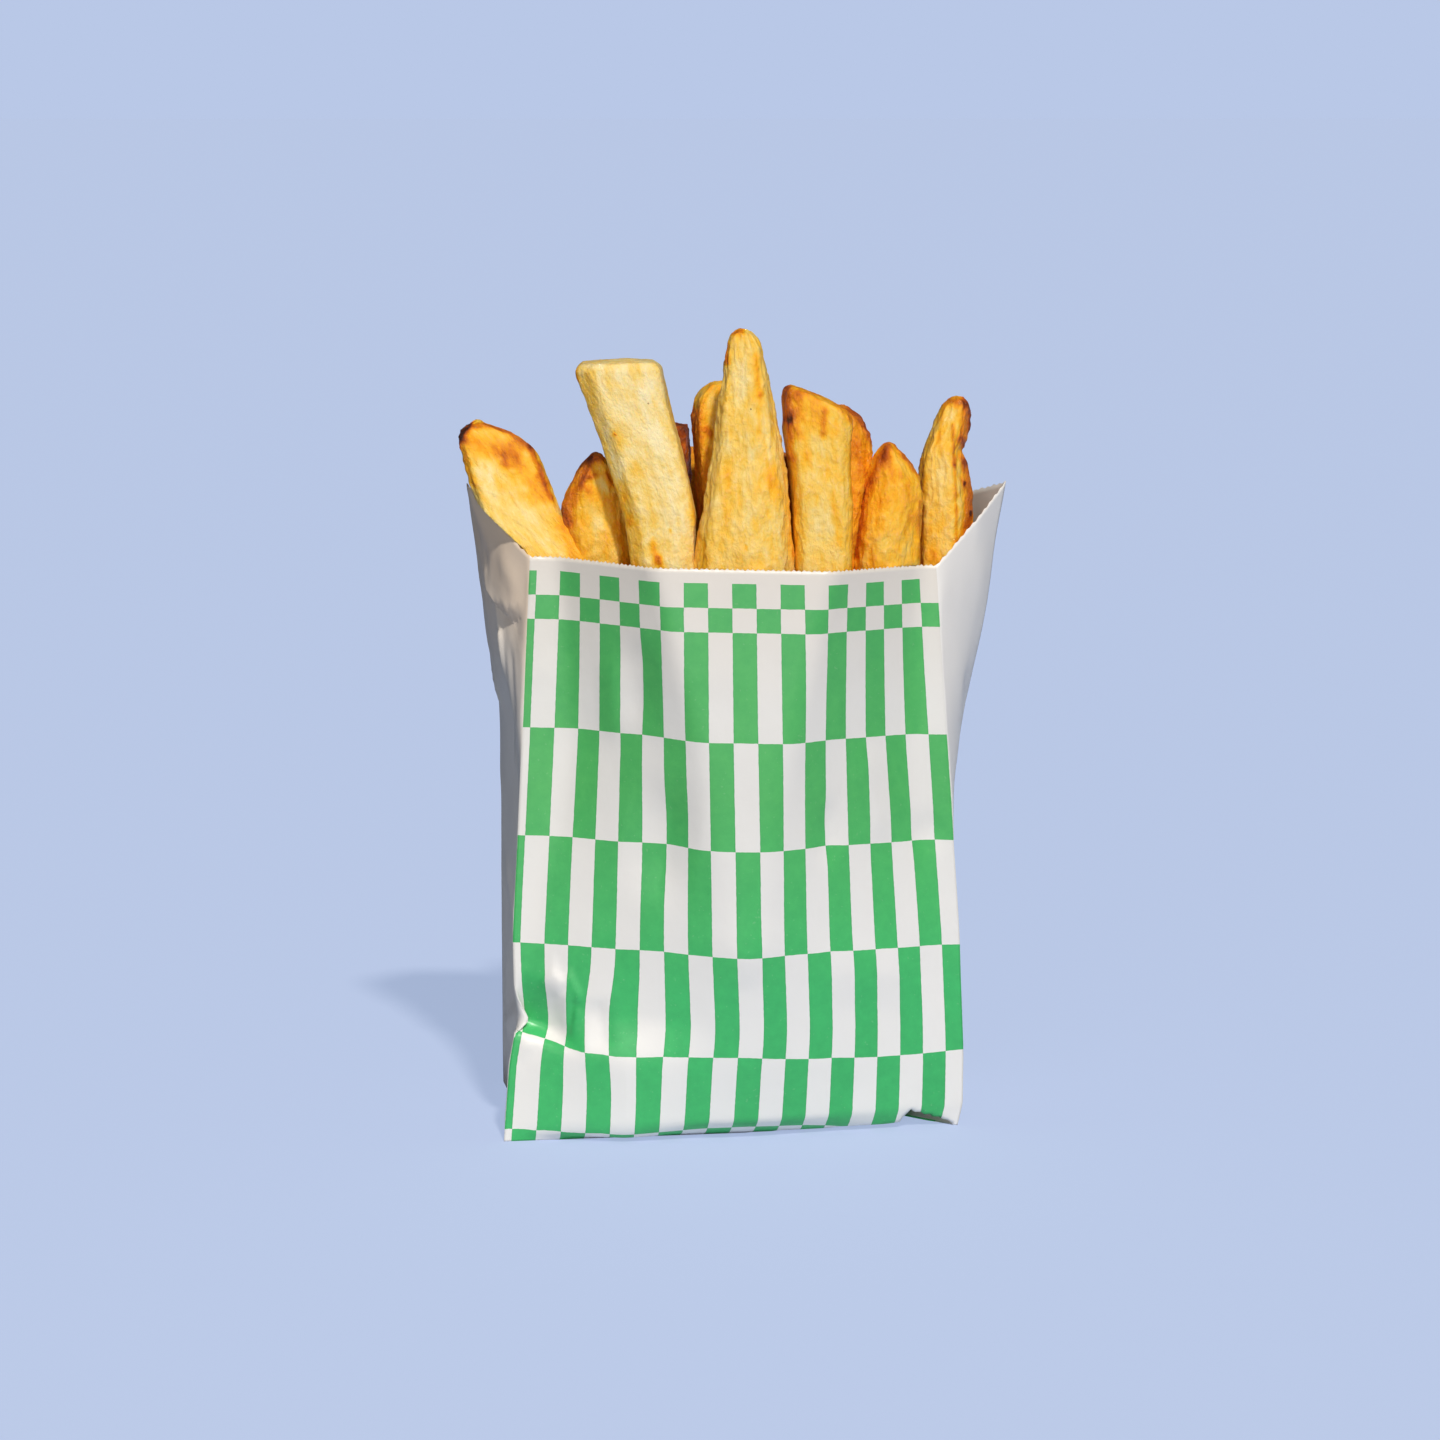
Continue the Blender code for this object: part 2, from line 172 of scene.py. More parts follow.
# Creases and dents: (across, height) of both ends, how far out (or in, below zero), the widths of
# the slopes above and below the line, and how far each end fades. Across runs along the paper
# from the front's left edge: front 0-100.5, right side to 149.5, back to 250, left side to 299.
bagCreases = (
    # the lower left corner is knocked in
    ((-3.0, 28.4), (18.0, 21.8), -3.7, 11.0, 3.0, 4.0, 14.0),
    ((7.6, 39.5), (12.4, 35.0), 0.7, 1.6, 6.0, 1.6, 2.4),
    ((12.0, 39.0), (16.4, 31.6), 0.55, 1.2, 2.6, 1.5, 2.0),
    ((15.4, 31.0), (13.6, 24.0), 0.5, 1.2, 2.6, 1.5, 2.0),
    ((12.6, 36.0), (12.0, 25.0), 0.7, 4.0, 1.6, 3.0, 3.0),
    ((1.0, 23.0), (6.0, 21.0), 0.35, 2.0, 4.0, 2.0, 3.0),
    ((20.0, 34.0), (22.0, 21.0), -0.5, 3.0, 4.0, 4.0, 3.0),
    ((26.0, 30.0), (26.0, -2.0), 2.4, 18.0, 25.0, 12.0, 1.0),
    # soft hollows in the front's left slope and beside the right one
    ((36.0, 86.0), (31.0, 52.0), -1.5, 10.0, 8.0, 14.0, 14.0),
    ((28.0, 116.0), (27.0, 92.0), -0.8, 7.0, 6.0, 9.0, 9.0),
    ((20.5, 112.0), (21.5, 88.0), 0.6, 5.0, 5.0, 9.0, 9.0),
    ((70.0, 80.0), (71.0, 62.0), -0.9, 5.0, 5.0, 7.0, 7.0),
    ((79.0, 92.0), (84.0, 64.0), 0.7, 7.0, 6.0, 9.0, 9.0),
    ((88.0, 66.0), (100.0, 70.0), -0.6, 6.0, 6.0, 6.0, 4.0),
    ((44.0, 46.0), (60.0, 43.0), 0.7, 9.0, 9.0, 9.0, 9.0),
    ((64.0, 40.0), (92.0, 36.0), 0.6, 9.0, 9.0, 10.0, 9.0),
    # left side: crumpled facets under the sharp fold
    ((270.0, 140.0), (282.0, 124.0), -1.0, 6.0, 5.0, 6.0, 6.0),
    ((287.0, 132.0), (296.0, 122.0), 0.5, 4.0, 4.0, 5.0, 4.0),
    ((279.5, 114.0), (280.5, 101.0), 0.8, 2.2, 2.6, 2.0, 5.0),
    ((288.0, 112.0), (291.0, 90.0), -0.4, 4.0, 4.0, 6.0, 7.0),
    ((279.0, 92.0), (291.0, 82.0), 0.9, 2.0, 5.0, 4.0, 4.0),
    ((281.0, 80.0), (295.0, 68.0), -0.8, 4.0, 2.0, 4.0, 4.0),
    ((279.0, 60.0), (286.0, 44.0), 0.9, 2.0, 3.0, 4.0, 4.0),
    ((283.0, 42.0), (294.0, 30.0), -0.7, 3.0, 2.0, 4.0, 4.0),
    ((256.0, 104.0), (268.0, 92.0), 0.6, 3.0, 3.0, 4.0, 4.0),
    ((257.0, 58.0), (266.0, 40.0), 0.6, 3.0, 3.0, 5.0, 5.0),
    ((254.0, 14.0), (270.0, 22.0), 0.6, 4.0, 4.0, 5.0, 5.0),
    # right side
    ((112.0, 104.0), (121.0, 92.0), -0.5, 4.0, 4.0, 5.0, 5.0),
    ((126.0, 112.0), (142.0, 100.0), 0.6, 5.0, 5.0, 6.0, 6.0),
    ((124.0, 78.0), (146.0, 60.0), -0.7, 6.0, 5.0, 6.0, 7.0),
    ((104.0, 60.0), (118.0, 42.0), 0.5, 5.0, 5.0, 6.0, 6.0),
    ((128.0, 34.0), (144.0, 20.0), 0.6, 5.0, 5.0, 6.0, 6.0),
    # back
    ((166.0, 112.0), (190.0, 96.0), -0.8, 8.0, 6.0, 9.0, 9.0),
    ((214.0, 118.0), (236.0, 100.0), 0.7, 7.0, 7.0, 9.0, 9.0),
    ((158.0, 44.0), (182.0, 30.0), 0.8, 7.0, 7.0, 9.0, 9.0),
    ((206.0, 62.0), (240.0, 40.0), -0.8, 9.0, 7.0, 10.0, 9.0),
    ((228.0, 24.0), (246.0, 12.0), 0.8, 5.0, 6.0, 6.0, 5.0),
)


# The left side's upper part is pressed out over the rest along one sharp fold: (across, height) of
# the line, how far it stands out above and in below, how far each reaches, and the fold's own height
sideFold = {"line": ((262.0, 121.5), (277.0, 120.4), (284.0, 117.8), (291.0, 116.8), (299.0, 118.2)),
            "out": 0.8, "outReach": 8.0, "inward": 1.0, "inReach": 9.0, "drop": 1.8}


def trackAt(track, levels):  # the track's values at each level, its bends rounded as paper does
    table = np.array(track)
    fine = np.linspace(0.0, 1.0, 801)
    rounded = []
    for column in range(1, table.shape[1]):
        values = np.interp(fine, table[:, 0], table[:, column])
        soft = []
        for width in (3, 14):
            kernel = np.exp(-0.5 * (np.arange(-3 * width, 3 * width + 1) / width) ** 2)
            padded = np.pad(values, 3 * width, mode="reflect", reflect_type="odd")
            soft.append(np.convolve(padded, kernel / kernel.sum(), mode="valid"))
        blend = smoothStep((fine - 0.06) / 0.10)
        rounded.append(np.interp(levels, fine, soft[0] * (1 - blend) + soft[1] * blend))
    return np.array(rounded)


def plateau(place, start, end):  # 1 between start and end, falling smoothly to 0 at both
    edge = 0.25 * (end - start)
    return smoothStep((place - start) / edge + 0.5) * smoothStep((end - place) / edge + 0.5)


def frontLine(start, end, forward, share, leftStart, rightEnd, steps):
    angle = math.asin(min(0.9, forward / (bag["panelWidth"] * share)))
    place = (np.arange(steps) + 0.5) / steps
    heading = angle * (plateau(place, leftStart, leftStart + share)
                       - plateau(place, 1 - rightEnd - share, 1 - rightEnd))
    line = np.zeros(steps + 1, complex)
    line[1:] = np.cumsum(np.exp(-1j * heading))
    first, last = complex(*start), complex(*end)
    return first + line * (last - first) / line[-1]


def bowedLine(start, end, steps, bow):
    first, last = complex(*start), complex(*end)
    share = np.arange(steps + 1) / steps
    side = -1j * (last - first) / abs(last - first)
    return first + (last - first) * share + side * bow * np.sin(np.pi * share)


def layPaper(levels):
    # points (level, column, xyz) round the bag, with the first column repeated at the end, and
    # how far along the paper each column is
    corner = {name: trackAt(track, levels) for name, track in bagCorners.items()}
    swell = trackAt(frontSwell, levels)
    half = bag["gussetColumns"]
    left, right, ear, back = (bag[name] for name in ("leftRim", "rightRim", "earRim", "backRim"))
    runs = (("frontLeft", "frontRight", bag["frontColumns"], left, right, bag["panelWidth"], 0.0),
            ("frontRight", "rightFold", half, right, ear, bag["gussetFront"], 0.5),
            ("rightFold", "backRight", half, ear, back, bag["gussetBack"], 1.0),
            ("backRight", "backLeft", bag["backColumns"], back, back, bag["panelWidth"], 0.0),
            ("backLeft", "leftFold", half, back, ear, bag["gussetBack"], 1.5),
            ("leftFold", "frontLeft", half, ear, left, bag["gussetFront"], 0.5))
    sheets = []
    across = []
    reached = 0.0
    for number, (start, end, steps, firstRim, lastRim, width, bow) in enumerate(runs):
        share = np.arange(steps + 1) / steps
        rim = firstRim + (lastRim - firstRim) * share
        if number == 3:
            rim = rim - bag["backDip"] * smoothStep(2.5 * np.minimum(share, 1 - share))
        rows = []
        for at, level in enumerate(levels):
            a, b = corner[start][:, at], corner[end][:, at]
            if number == 0:
                line = frontLine(a, b, *swell[:, at], steps)
            elif number == 3:
                line = bowedLine(a, b, steps, bag["backBow"])
            else:
                line = bowedLine(a, b, steps, bow * float(smoothStep(level)))
            rows.append(np.stack((line.real, line.imag, rim * level), axis=1))
        last = len(runs) - 1 == number
        sheets.append(np.array(rows)[:, :None if last else -1])
        across.append((reached + width * share)[:None if last else -1])
        reached += width
    return np.concatenate(sheets, axis=1), np.concatenate(across)


def creaseField(across, height):  # how far each point of the paper stands out of its plain form
    field = np.zeros(np.broadcast(across, height).shape)
    whole = 2 * bag["panelWidth"] + 2 * bag["gussetFront"] + 2 * bag["gussetBack"]
    for start, end, amount, above, below, fadeIn, fadeOut in bagCreases:
        a, b = np.array(start), np.array(end)
        length = np.linalg.norm(b - a)
        along = (b - a) / length
        side = np.array((-along[1], along[0]))
        if side[1] < 0:
            side = -side
        for turn in (-whole, 0.0, whole):
            du, dz = across + turn - a[0], height - a[1]
            t = du * along[0] + dz * along[1]
            s = du * side[0] + dz * side[1]
            tent = np.clip(1 - np.where(s > 0, s / above, -s / below), 0, 1)
            window = smoothStep(t / fadeIn) * smoothStep((length - t) / fadeOut)
            field += amount * window * (0.55 * tent + 0.45 * tent * tent * (3 - 2 * tent))
    return field


def foldField(across, height):
    line = np.array(sideFold["line"])
    above = height - np.interp(across, line[:, 0], line[:, 1])
    window = smoothStep((across - 269) / 8) * smoothStep((298.5 - across) / 6)
    half = sideFold["drop"] / 2
    out = sideFold["out"] * np.exp(-np.clip(above - half, 0, None) / sideFold["outReach"])
    inward = -sideFold["inward"] * np.exp(np.clip(above + half, None, 0) / sideFold["inReach"])
    return window * (inward + (out - inward) * smoothStep((above + half) / sideFold["drop"]))


def paperNormals(points):
    alongRow = np.roll(points[:, :-1], -1, axis=1) - np.roll(points[:, :-1], 1, axis=1)
    upColumn = np.gradient(points[:, :-1], axis=0)
    normals = np.cross(alongRow, upColumn)
    normals /= np.maximum(1e-9, np.linalg.norm(normals, axis=2, keepdims=True))
    return np.concatenate((normals, normals[:, :1]), axis=1)


def foldedPaper(levels):
    points, across = layPaper(levels)
    height = points[:, :, 2]
    acrossAll = np.broadcast_to(across, height.shape)
    field = creaseField(acrossAll, height) + foldField(acrossAll, height)
    return points, paperNormals(points), field, across, acrossAll


def makeBag():
    levels = np.concatenate(([0, 0.003, 0.006, 0.009], np.linspace(0.0125, 0.055, 8)[:-1],
                             np.linspace(0.055, 0.30, 38)[:-1], np.linspace(0.30, 0.78, 32)[:-1],
                             np.linspace(0.78, 0.85, 14)[:-1], np.linspace(0.85, 0.985, 10), [0.9925, 1.0]))
    points, normals, field, across, acrossAll = foldedPaper(levels)
    rows, columns = points.shape[:2]
    height = points[:, :, 2]
    # fine crumple: ridged noise, strongest on the folded sides
    flat = np.stack((acrossAll, height, np.zeros_like(height)), axis=2)[:, :-1].reshape(-1, 3)
    width = bag["panelWidth"]
    backStart = width + bag["gussetFront"] + bag["gussetBack"]
    onSide, onBack, onFront = bag["crumple"]
    onPanel = np.abs(flat[:, 0] - backStart - 0.5 * width) <= 0.5 * width
    amount = np.where(flat[:, 0] <= width, onFront, np.where(onPanel, onBack, onSide))
    crumple = (0.5 - np.abs(noiseAt(flat, bag["crumpleSize"], 3.7))) * 2
    crumple = amount * crumple + 0.35 * amount * noiseAt(flat, bag["fineCrumpleSize"], 9.1)
    crumple = crumple.reshape(rows, columns - 1)
    crumple = np.concatenate((crumple, crumple[:, :1]), axis=1)
    field = field + crumple * smoothStep(height / 6.0)
    # the front's foot is drawn under: a dark gap along the floor, highest in the lower right corner
    edge = np.interp(acrossAll, *zip(*bag["footGap"]))
    nearCorner = smoothStep((width - 0.9 - acrossAll) / 2.0)
    pushed = smoothStep((edge - height) / 0.9) * nearCorner * (acrossAll < width - 0.5)
    points = points + normals * (field * smoothStep(height / 3.0))[:, :, None]
    points[:, :, 1] += np.interp(acrossAll, *zip(*bag["footPush"])) * pushed
    amount, (slideAt, slideHeight), (slideWide, slideHigh) = bag["slide"]
    slide = np.exp(-((acrossAll - slideAt) / slideWide) ** 2 - ((height - slideHeight) / slideHigh) ** 2)
    points[:, :, 0] -= amount * slide * (acrossAll < 80)
    points[:, :, 2] = np.maximum(points[:, :, 2], 0.0)
    # how far below the rim each point is along the paper
    step = np.linalg.norm(np.diff(points, axis=0), axis=2)
    down = np.concatenate((np.cumsum(step[::-1], axis=0)[::-1], np.zeros((1, columns))))
    # the folds have taken up more paper than they show, near the foot and at the knocked-in corner
    nearFoot = smoothStep((15 - height) / 13)
    atDent = smoothStep((38 - height) / 12) * (1 - nearFoot)
    for share, table in ((nearFoot, bag["footTakes"]), (atDent, bag["dentTakes"])):
        down = down + share * np.interp(acrossAll, *zip(*table)) * (acrossAll <= width)
    # teeth of the cut edge
    teeth = np.where(np.arange(columns) % 2 == 0, 0.5, -0.5) * bag["tooth"]
    teeth = teeth * (0.8 + 0.4 * np.sin(np.arange(columns) * 1.7))
    teeth[-1] = teeth[0]
    points[-1, :, 2] += teeth
    # the bottom: rings that close on a slot in the middle, a step up where the flap is pasted
    foot = points[0]
    rings = []
    slot = np.stack((np.clip(foot[:, 0], -bag["slotHalf"], bag["slotHalf"]), np.full(columns, 1.0)), axis=1)
    for share in bag["bottomRings"]:
        ring = foot.copy()
        ring[:, :2] = foot[:, :2] * (1 - share) + slot * share
        ring[:, 2] = bag["bottomStep"] * smoothStep((share - 0.3) / 0.3)
        rings.append(ring)
    under = np.linalg.norm(rings[-1] - foot, axis=1)
    underDown = [down[0] + under * share for share in (0.23, 0.44, 0.63, 0.82, 1.0)]
    points = np.concatenate((np.array(rings)[::-1], points))
    down = np.concatenate((np.array(underDown)[::-1], down))
    rows = len(points)
    # a flat sheet of paper, then rolled into the bag's form
    pickOnly()
    bpy.ops.mesh.primitive_grid_add(x_subdivisions=columns - 1, y_subdivisions=rows - 1, size=2)
    paper = bpy.context.object
    paper.name = paper.data.name = "paperBag"
    place = readPoints(paper)
    column = np.rint((place[:, 0] + 1) / 2 * (columns - 1)).astype(int)
    row = np.rint((place[:, 1] + 1) / 2 * (rows - 1)).astype(int)
    writePoints(paper, points[row, column])
    corners = np.zeros(len(paper.data.loops), int)
    paper.data.loops.foreach_get("vertex_index", corners)
    sheet = np.stack((across[column], bag["sheet"] - down[row, column]), axis=1) / bag["sheet"]
    paper.data.uv_layers[0].name = "paper"
    paper.data.uv_layers[0].data.foreach_set("uv", sheet[corners].ravel())
    # close the seam and the bottom
    pickOnly(paper)
    bpy.ops.object.mode_set(mode="EDIT")
    bpy.ops.mesh.select_all(action="SELECT")
    bpy.ops.mesh.remove_doubles(threshold=0.001)
    bpy.ops.mesh.select_all(action="DESELECT")
    bpy.ops.mesh.select_mode(type="EDGE")
    shape = bmesh.from_edit_mesh(paper.data)
    for line in shape.edges:
        if line.is_boundary and line.verts[0].co.z < 5 and line.verts[1].co.z < 5:
            line.select_set(True)
    bmesh.update_edit_mesh(paper.data)
    bpy.ops.mesh.edge_face_add()
    bpy.ops.mesh.select_all(action="SELECT")
    bpy.ops.mesh.normals_make_consistent(inside=False)
    bpy.ops.object.mode_set(mode="OBJECT")
    middle = [face for face in paper.data.polygons if len(face.vertices) > 4]
    print("paper bag sheet:", rows, "rows,", columns, "columns, bottom faces", len(middle))
    wall = paper.modifiers.new("paper", "SOLIDIFY")
    wall.thickness = bag["thickness"]
    wall.offset = -1.0
    wall.use_even_offset = False
    wall.material_offset = 1
    wall.material_offset_rim = 1
    bpy.ops.object.modifier_apply(modifier=wall.name)
    spots = readPoints(paper)
    print("paper points set back on the floor:", int((spots[:, 2] < -1e-6).sum()))
    spots[:, 2] = np.maximum(spots[:, 2], 0.0)
    writePoints(paper, spots)
    bpy.ops.object.shade_smooth()
    return paper


# Greaseproof paper: bleached, calendered smooth, so a soft sheen over fine fibres. The outside is
# flexo printed: a thin flat ink with a slightly darker squeezed rim, sheen showing through it.
paperLook = {
    "colours": {
        # the upper paper colour is the stock painted darker, as shade; the low inks are the ink painted
        # lighter and bluer, as the floor's blue bounce light
        "paper": "#ebe8e3", "shadedUpperPaper": "#e2dfd9", "warmPaper": "#ddd2c4", "inside": "#e9e5dd",
        # the tan side colour is a painted warm glow of light through the paper, for the sides
        "glowPaper": "#dcc6ae", "ink": "#53b65f", "inkDeep": "#45a958", "bounceLitInk": "#40be69",
        "bounceLitInkDeep": "#37ad60", "inkRim": "#2f9455"},
    "cell": 5.27, "firstCell": 1.6, "bar": 23.95, "rowStarts": (3.0, 8.3, 13.6),
    "pressWander": 0.08, "rimWidth": 0.13, "rimDark": 0.55, "holes": 0.07,
    # painted light: towards the foot the stock is painted brighter and the ink lighter and bluer, for the
    # floor's bounce light that falls there
    "footLightRange": (50.0, 95.0),                # the stock is brighter and the ink cooler towards the foot
    # near the rim: partly a slight oil stain, partly painted warm light from the fries
    "warm": 0.6, "warmUntil": (30.0, 2.0),    # near the rim: none at the first height, full at the second
    # the oil amounts here paint a warm glow of light coming through the paper from the lit fries, strongest
    # on the left side
    "oil": 0.85, "glowUntil": (46.0, 12.0), "glowRight": 0.08,   # on the sides, most on the left one
    "rough": 0.40, "insideRough": 0.58, "sheenLevel": 0.6, "index": 1.5,
}


def paperGrain(tree, spot, shader, roughness):
    fibres = addNode(tree, "ShaderNodeTexNoise", {"Vector": spot, "Scale": 2600.0, "Detail": 3.0,
                                                  "Roughness": 0.6})
    ripple = addNode(tree, "ShaderNodeTexNoise", {"Vector": spot, "Scale": 130.0, "Detail": 3.0,
                                                  "Roughness": 0.55})
    fine = addNode(tree, "ShaderNodeBump", {"Height": fibres.outputs["Fac"], "Strength": 0.12,
                                            "Distance": 0.00004})
    wide = addNode(tree, "ShaderNodeBump", {"Height": ripple.outputs["Fac"], "Strength": 0.35,
                                            "Distance": 0.0004, "Normal": fine.outputs["Normal"]})
    rough = addNode(tree, "ShaderNodeMapRange", {"Value": ripple.outputs["Fac"], "From Min": 0.3,
                                                 "From Max": 0.7, "To Min": roughness - 0.05,
                                                 "To Max": roughness + 0.07})
    tree.links.new(wide.outputs["Normal"], shader.inputs["Normal"])
    tree.links.new(rough.outputs["Result"], shader.inputs["Roughness"])


def makePrintedPaper():
    material, tree, shader = newMaterial("printedGreaseproofPaper")
    look = paperLook
    spot = addNode(tree, "ShaderNodeTexCoord").outputs["Object"]
    sheet = addNode(tree, "ShaderNodeUVMap", uv_map="paper").outputs["UV"]
    sheet = addNode(tree, "ShaderNodeSeparateXYZ", {"Vector": sheet}).outputs
    values = {"sheetX": sheet["X"], "sheetY": sheet["Y"]}
    for name, scale, detail, roughness in (("wander", 900.0, 2.0, 0.5), ("mottle", 420.0, 4.0, 0.65),
                                           ("wide", 28.0, 2.0, 0.5), ("specks", 1500.0, 1.0, 0.5)):
        values[name] = addNode(tree, "ShaderNodeTexNoise", {"Vector": spot, "Scale": scale, "Detail": detail,
                                                            "Roughness": roughness}).outputs["Fac"]
    width, cell = bag["panelWidth"], look["cell"]
    rowOne, rowTwo, rowThree = look["rowStarts"]
    backStart = width + bag["gussetFront"] + bag["gussetBack"]
    leftStart = backStart + width
    # Each line is a Math node: its name, operation and inputs. Here u runs across the paper from the
    # front's left edge and v down it from the rim, in mm. A name that ends in Share stays within 0 and 1.
    steps = (
        ("off", "MULTIPLY_ADD", "wander", 2 * look["pressWander"], -look["pressWander"]),
        ("u", "MULTIPLY_ADD", "sheetX", bag["sheet"], "off"),
        ("fromTop", "SUBTRACT", 1.0, "sheetY"),
        ("v", "MULTIPLY_ADD", "fromTop", bag["sheet"], "off"),
        # the back panel's print starts again from its own left edge
        ("onBack", "GREATER_THAN", "u", 0.5 * (backStart + width)),
        ("backShift", "MULTIPLY", "onBack", backStart),
        ("uHere", "SUBTRACT", "u", "backShift"),
        ("pastLeft", "GREATER_THAN", "uHere", 0.0),
        ("beforeRight", "LESS_THAN", "uHere", width),
        ("inPanel", "MULTIPLY", "pastLeft", "beforeRight"),
        # two rows of squares under the plain rim, then long bars, each row a cell along from the last
        ("fromFirst", "SUBTRACT", "uHere", look["firstCell"]),
        ("cellPlace", "DIVIDE", "fromFirst", cell),
        ("column", "FLOOR", "cellPlace"),
        ("fromThree", "SUBTRACT", "v", rowThree),
        ("barPlace", "DIVIDE", "fromThree", look["bar"]),
        ("barOnly", "MAXIMUM", "barPlace", 0.0),
        ("barRow", "FLOOR", "barOnly"),
        ("pastOne", "GREATER_THAN", "v", rowOne),
        ("pastTwo", "GREATER_THAN", "v", rowTwo),
        ("pastThree", "GREATER_THAN", "v", rowThree),
        ("rowPart", "ADD", "pastThree", "barRow"),
        ("row", "ADD", "pastTwo", "rowPart"),
        ("cellsAlong", "ADD", "column", "row"),
        ("aboveZero", "ADD", "cellsAlong", 101.0),
        ("odd", "PINGPONG", "aboveZero", 1.0),
        ("even", "LESS_THAN", "odd", 0.5),
        ("printable", "MULTIPLY", "inPanel", "pastOne"),
        ("printed", "MULTIPLY", "even", "printable"),
        # the ink's rim, along the upright edges of a cell
        ("pastZero", "ADD", "cellPlace", 50.0),
        ("cellPart", "FRACT", "pastZero"),
        ("cellRest", "SUBTRACT", 1.0, "cellPart"),
        ("edgePart", "MINIMUM", "cellPart", "cellRest"),
        ("toEdge", "MULTIPLY", "edgePart", cell),
        ("rim", "LESS_THAN", "toEdge", look["rimWidth"]),
        ("rimShare", "MULTIPLY", "rim", look["rimDark"]),
        # how thick the ink lies, and pinholes where it missed the fibres
        ("mottled", "MULTIPLY", "mottle", 0.6),
        ("patchy", "MULTIPLY_ADD", "wide", 0.5, "mottled"),
        ("depthShare", "MULTIPLY_ADD", "patchy", *lineFrom(0.35, 0.75)),
        ("pinhole", "GREATER_THAN", "specks", 0.73),
        ("inked", "MULTIPLY_ADD", "pinhole", -look["holes"], 1.0),
        ("coverShare", "MULTIPLY", "printed", "inked"),
        # painted light: the stock is painted lighter towards the foot and on the right side, and the ink
        # lighter and bluer towards the foot, for the light and the floor's blue bounce that fall there
        ("footLightShare", "MULTIPLY_ADD", "v", *lineFrom(*look["footLightRange"])),
        # near the rim the paper is warmer, partly a slight oil stain and partly painted warm light from the
        # fries; the sides get a painted warm glow of light through the paper, most on the left one
        ("onSide", "SUBTRACT", 1.0, "inPanel"),
        ("beforeBack", "LESS_THAN", "u", backStart),
        ("onRight", "MULTIPLY", "onSide", "beforeBack"),
        ("elsewhere", "SUBTRACT", 1.0, "onRight"),
        ("paintedLightShare", "MAXIMUM", "footLightShare", "onRight"),
        ("nearRimShare", "MULTIPLY_ADD", "v", *lineFrom(*look["warmUntil"])),
        ("warmth", "MULTIPLY", "nearRimShare", look["warm"]),
        ("warmShare", "MULTIPLY", "warmth", "elsewhere"),
        # painted light: a warm glow of light through the paper on the sides, most on the left one
        ("onLeft", "GREATER_THAN", "u", leftStart - 1.0),
        ("glowBySide", "MULTIPLY_ADD", "onLeft", 1.0 - look["glowRight"], look["glowRight"]),
        ("glowOnSide", "MULTIPLY", "onSide", "glowBySide"),
        ("upperShare", "MULTIPLY_ADD", "v", *lineFrom(*look["glowUntil"])),
        ("glowing", "MULTIPLY", "upperShare", look["oil"]),
        ("sideGlowShare", "MULTIPLY", "glowOnSide", "glowing"),
    )
    for name, operation, *inputs in steps:
        sockets = {at: values.get(value, value) for at, value in enumerate(inputs)}
        values[name] = addNode(tree, "ShaderNodeMath", sockets, operation=operation,
                               use_clamp=name.endswith("Share")).outputs["Value"]
    colours = {name: linear(hexColour) for name, hexColour in look["colours"].items()}
    # each colour is the second over the third, by a share
    for name, share, under, over in (
            ("upperInk", "depthShare", "ink", "inkDeep"), ("bounceLitFootInk", "depthShare", "bounceLitInk", "bounceLitInkDeep"),
            ("flatInk", "footLightShare", "upperInk", "bounceLitFootInk"), ("rimmedInk", "rimShare", "flatInk", "inkRim"),
            ("stock", "paintedLightShare", "shadedUpperPaper", "paper"), ("warmStock", "warmShare", "stock", "warmPaper"),
            ("bare", "sideGlowShare", "warmStock", "glowPaper"), ("finished", "coverShare", "bare", "rimmedInk")):
        mixed = addNode(tree, "ShaderNodeMix", {0: values[share], 6: colours[under], 7: colours[over]},
                        data_type="RGBA")
        colours[name] = mixed.outputs[2]
    tree.links.new(colours["finished"], shader.inputs["Base Color"])
    shader.inputs["IOR"].default_value = look["index"]
    shader.inputs["Specular IOR Level"].default_value = look["sheenLevel"]
    paperGrain(tree, spot, shader, look["rough"])
    return material


def makePlainPaper():
    material, tree, shader = newMaterial("bleachedGreaseproofPaper")
    spot = addNode(tree, "ShaderNodeTexCoord").outputs["Object"]
    cloud = addNode(tree, "ShaderNodeTexNoise", {"Vector": spot, "Scale": 60.0, "Detail": 3.0})
    colour = addNode(tree, "ShaderNodeMix", {
        0: cloud.outputs["Fac"], 6: linear(paperLook["colours"]["inside"]),
        7: linear(paperLook["colours"]["warmPaper"])}, data_type="RGBA")
    tree.links.new(colour.outputs[2], shader.inputs["Base Color"])
    shader.inputs["IOR"].default_value = paperLook["index"]
    paperGrain(tree, spot, shader, paperLook["insideRough"])
    return material


paperBag = makeBag()
paperBag.data.materials.append(makePrintedPaper())
paperBag.data.materials.append(makePlainPaper())
print("paper bag:", len(paperBag.data.polygons), "faces")


# Fries

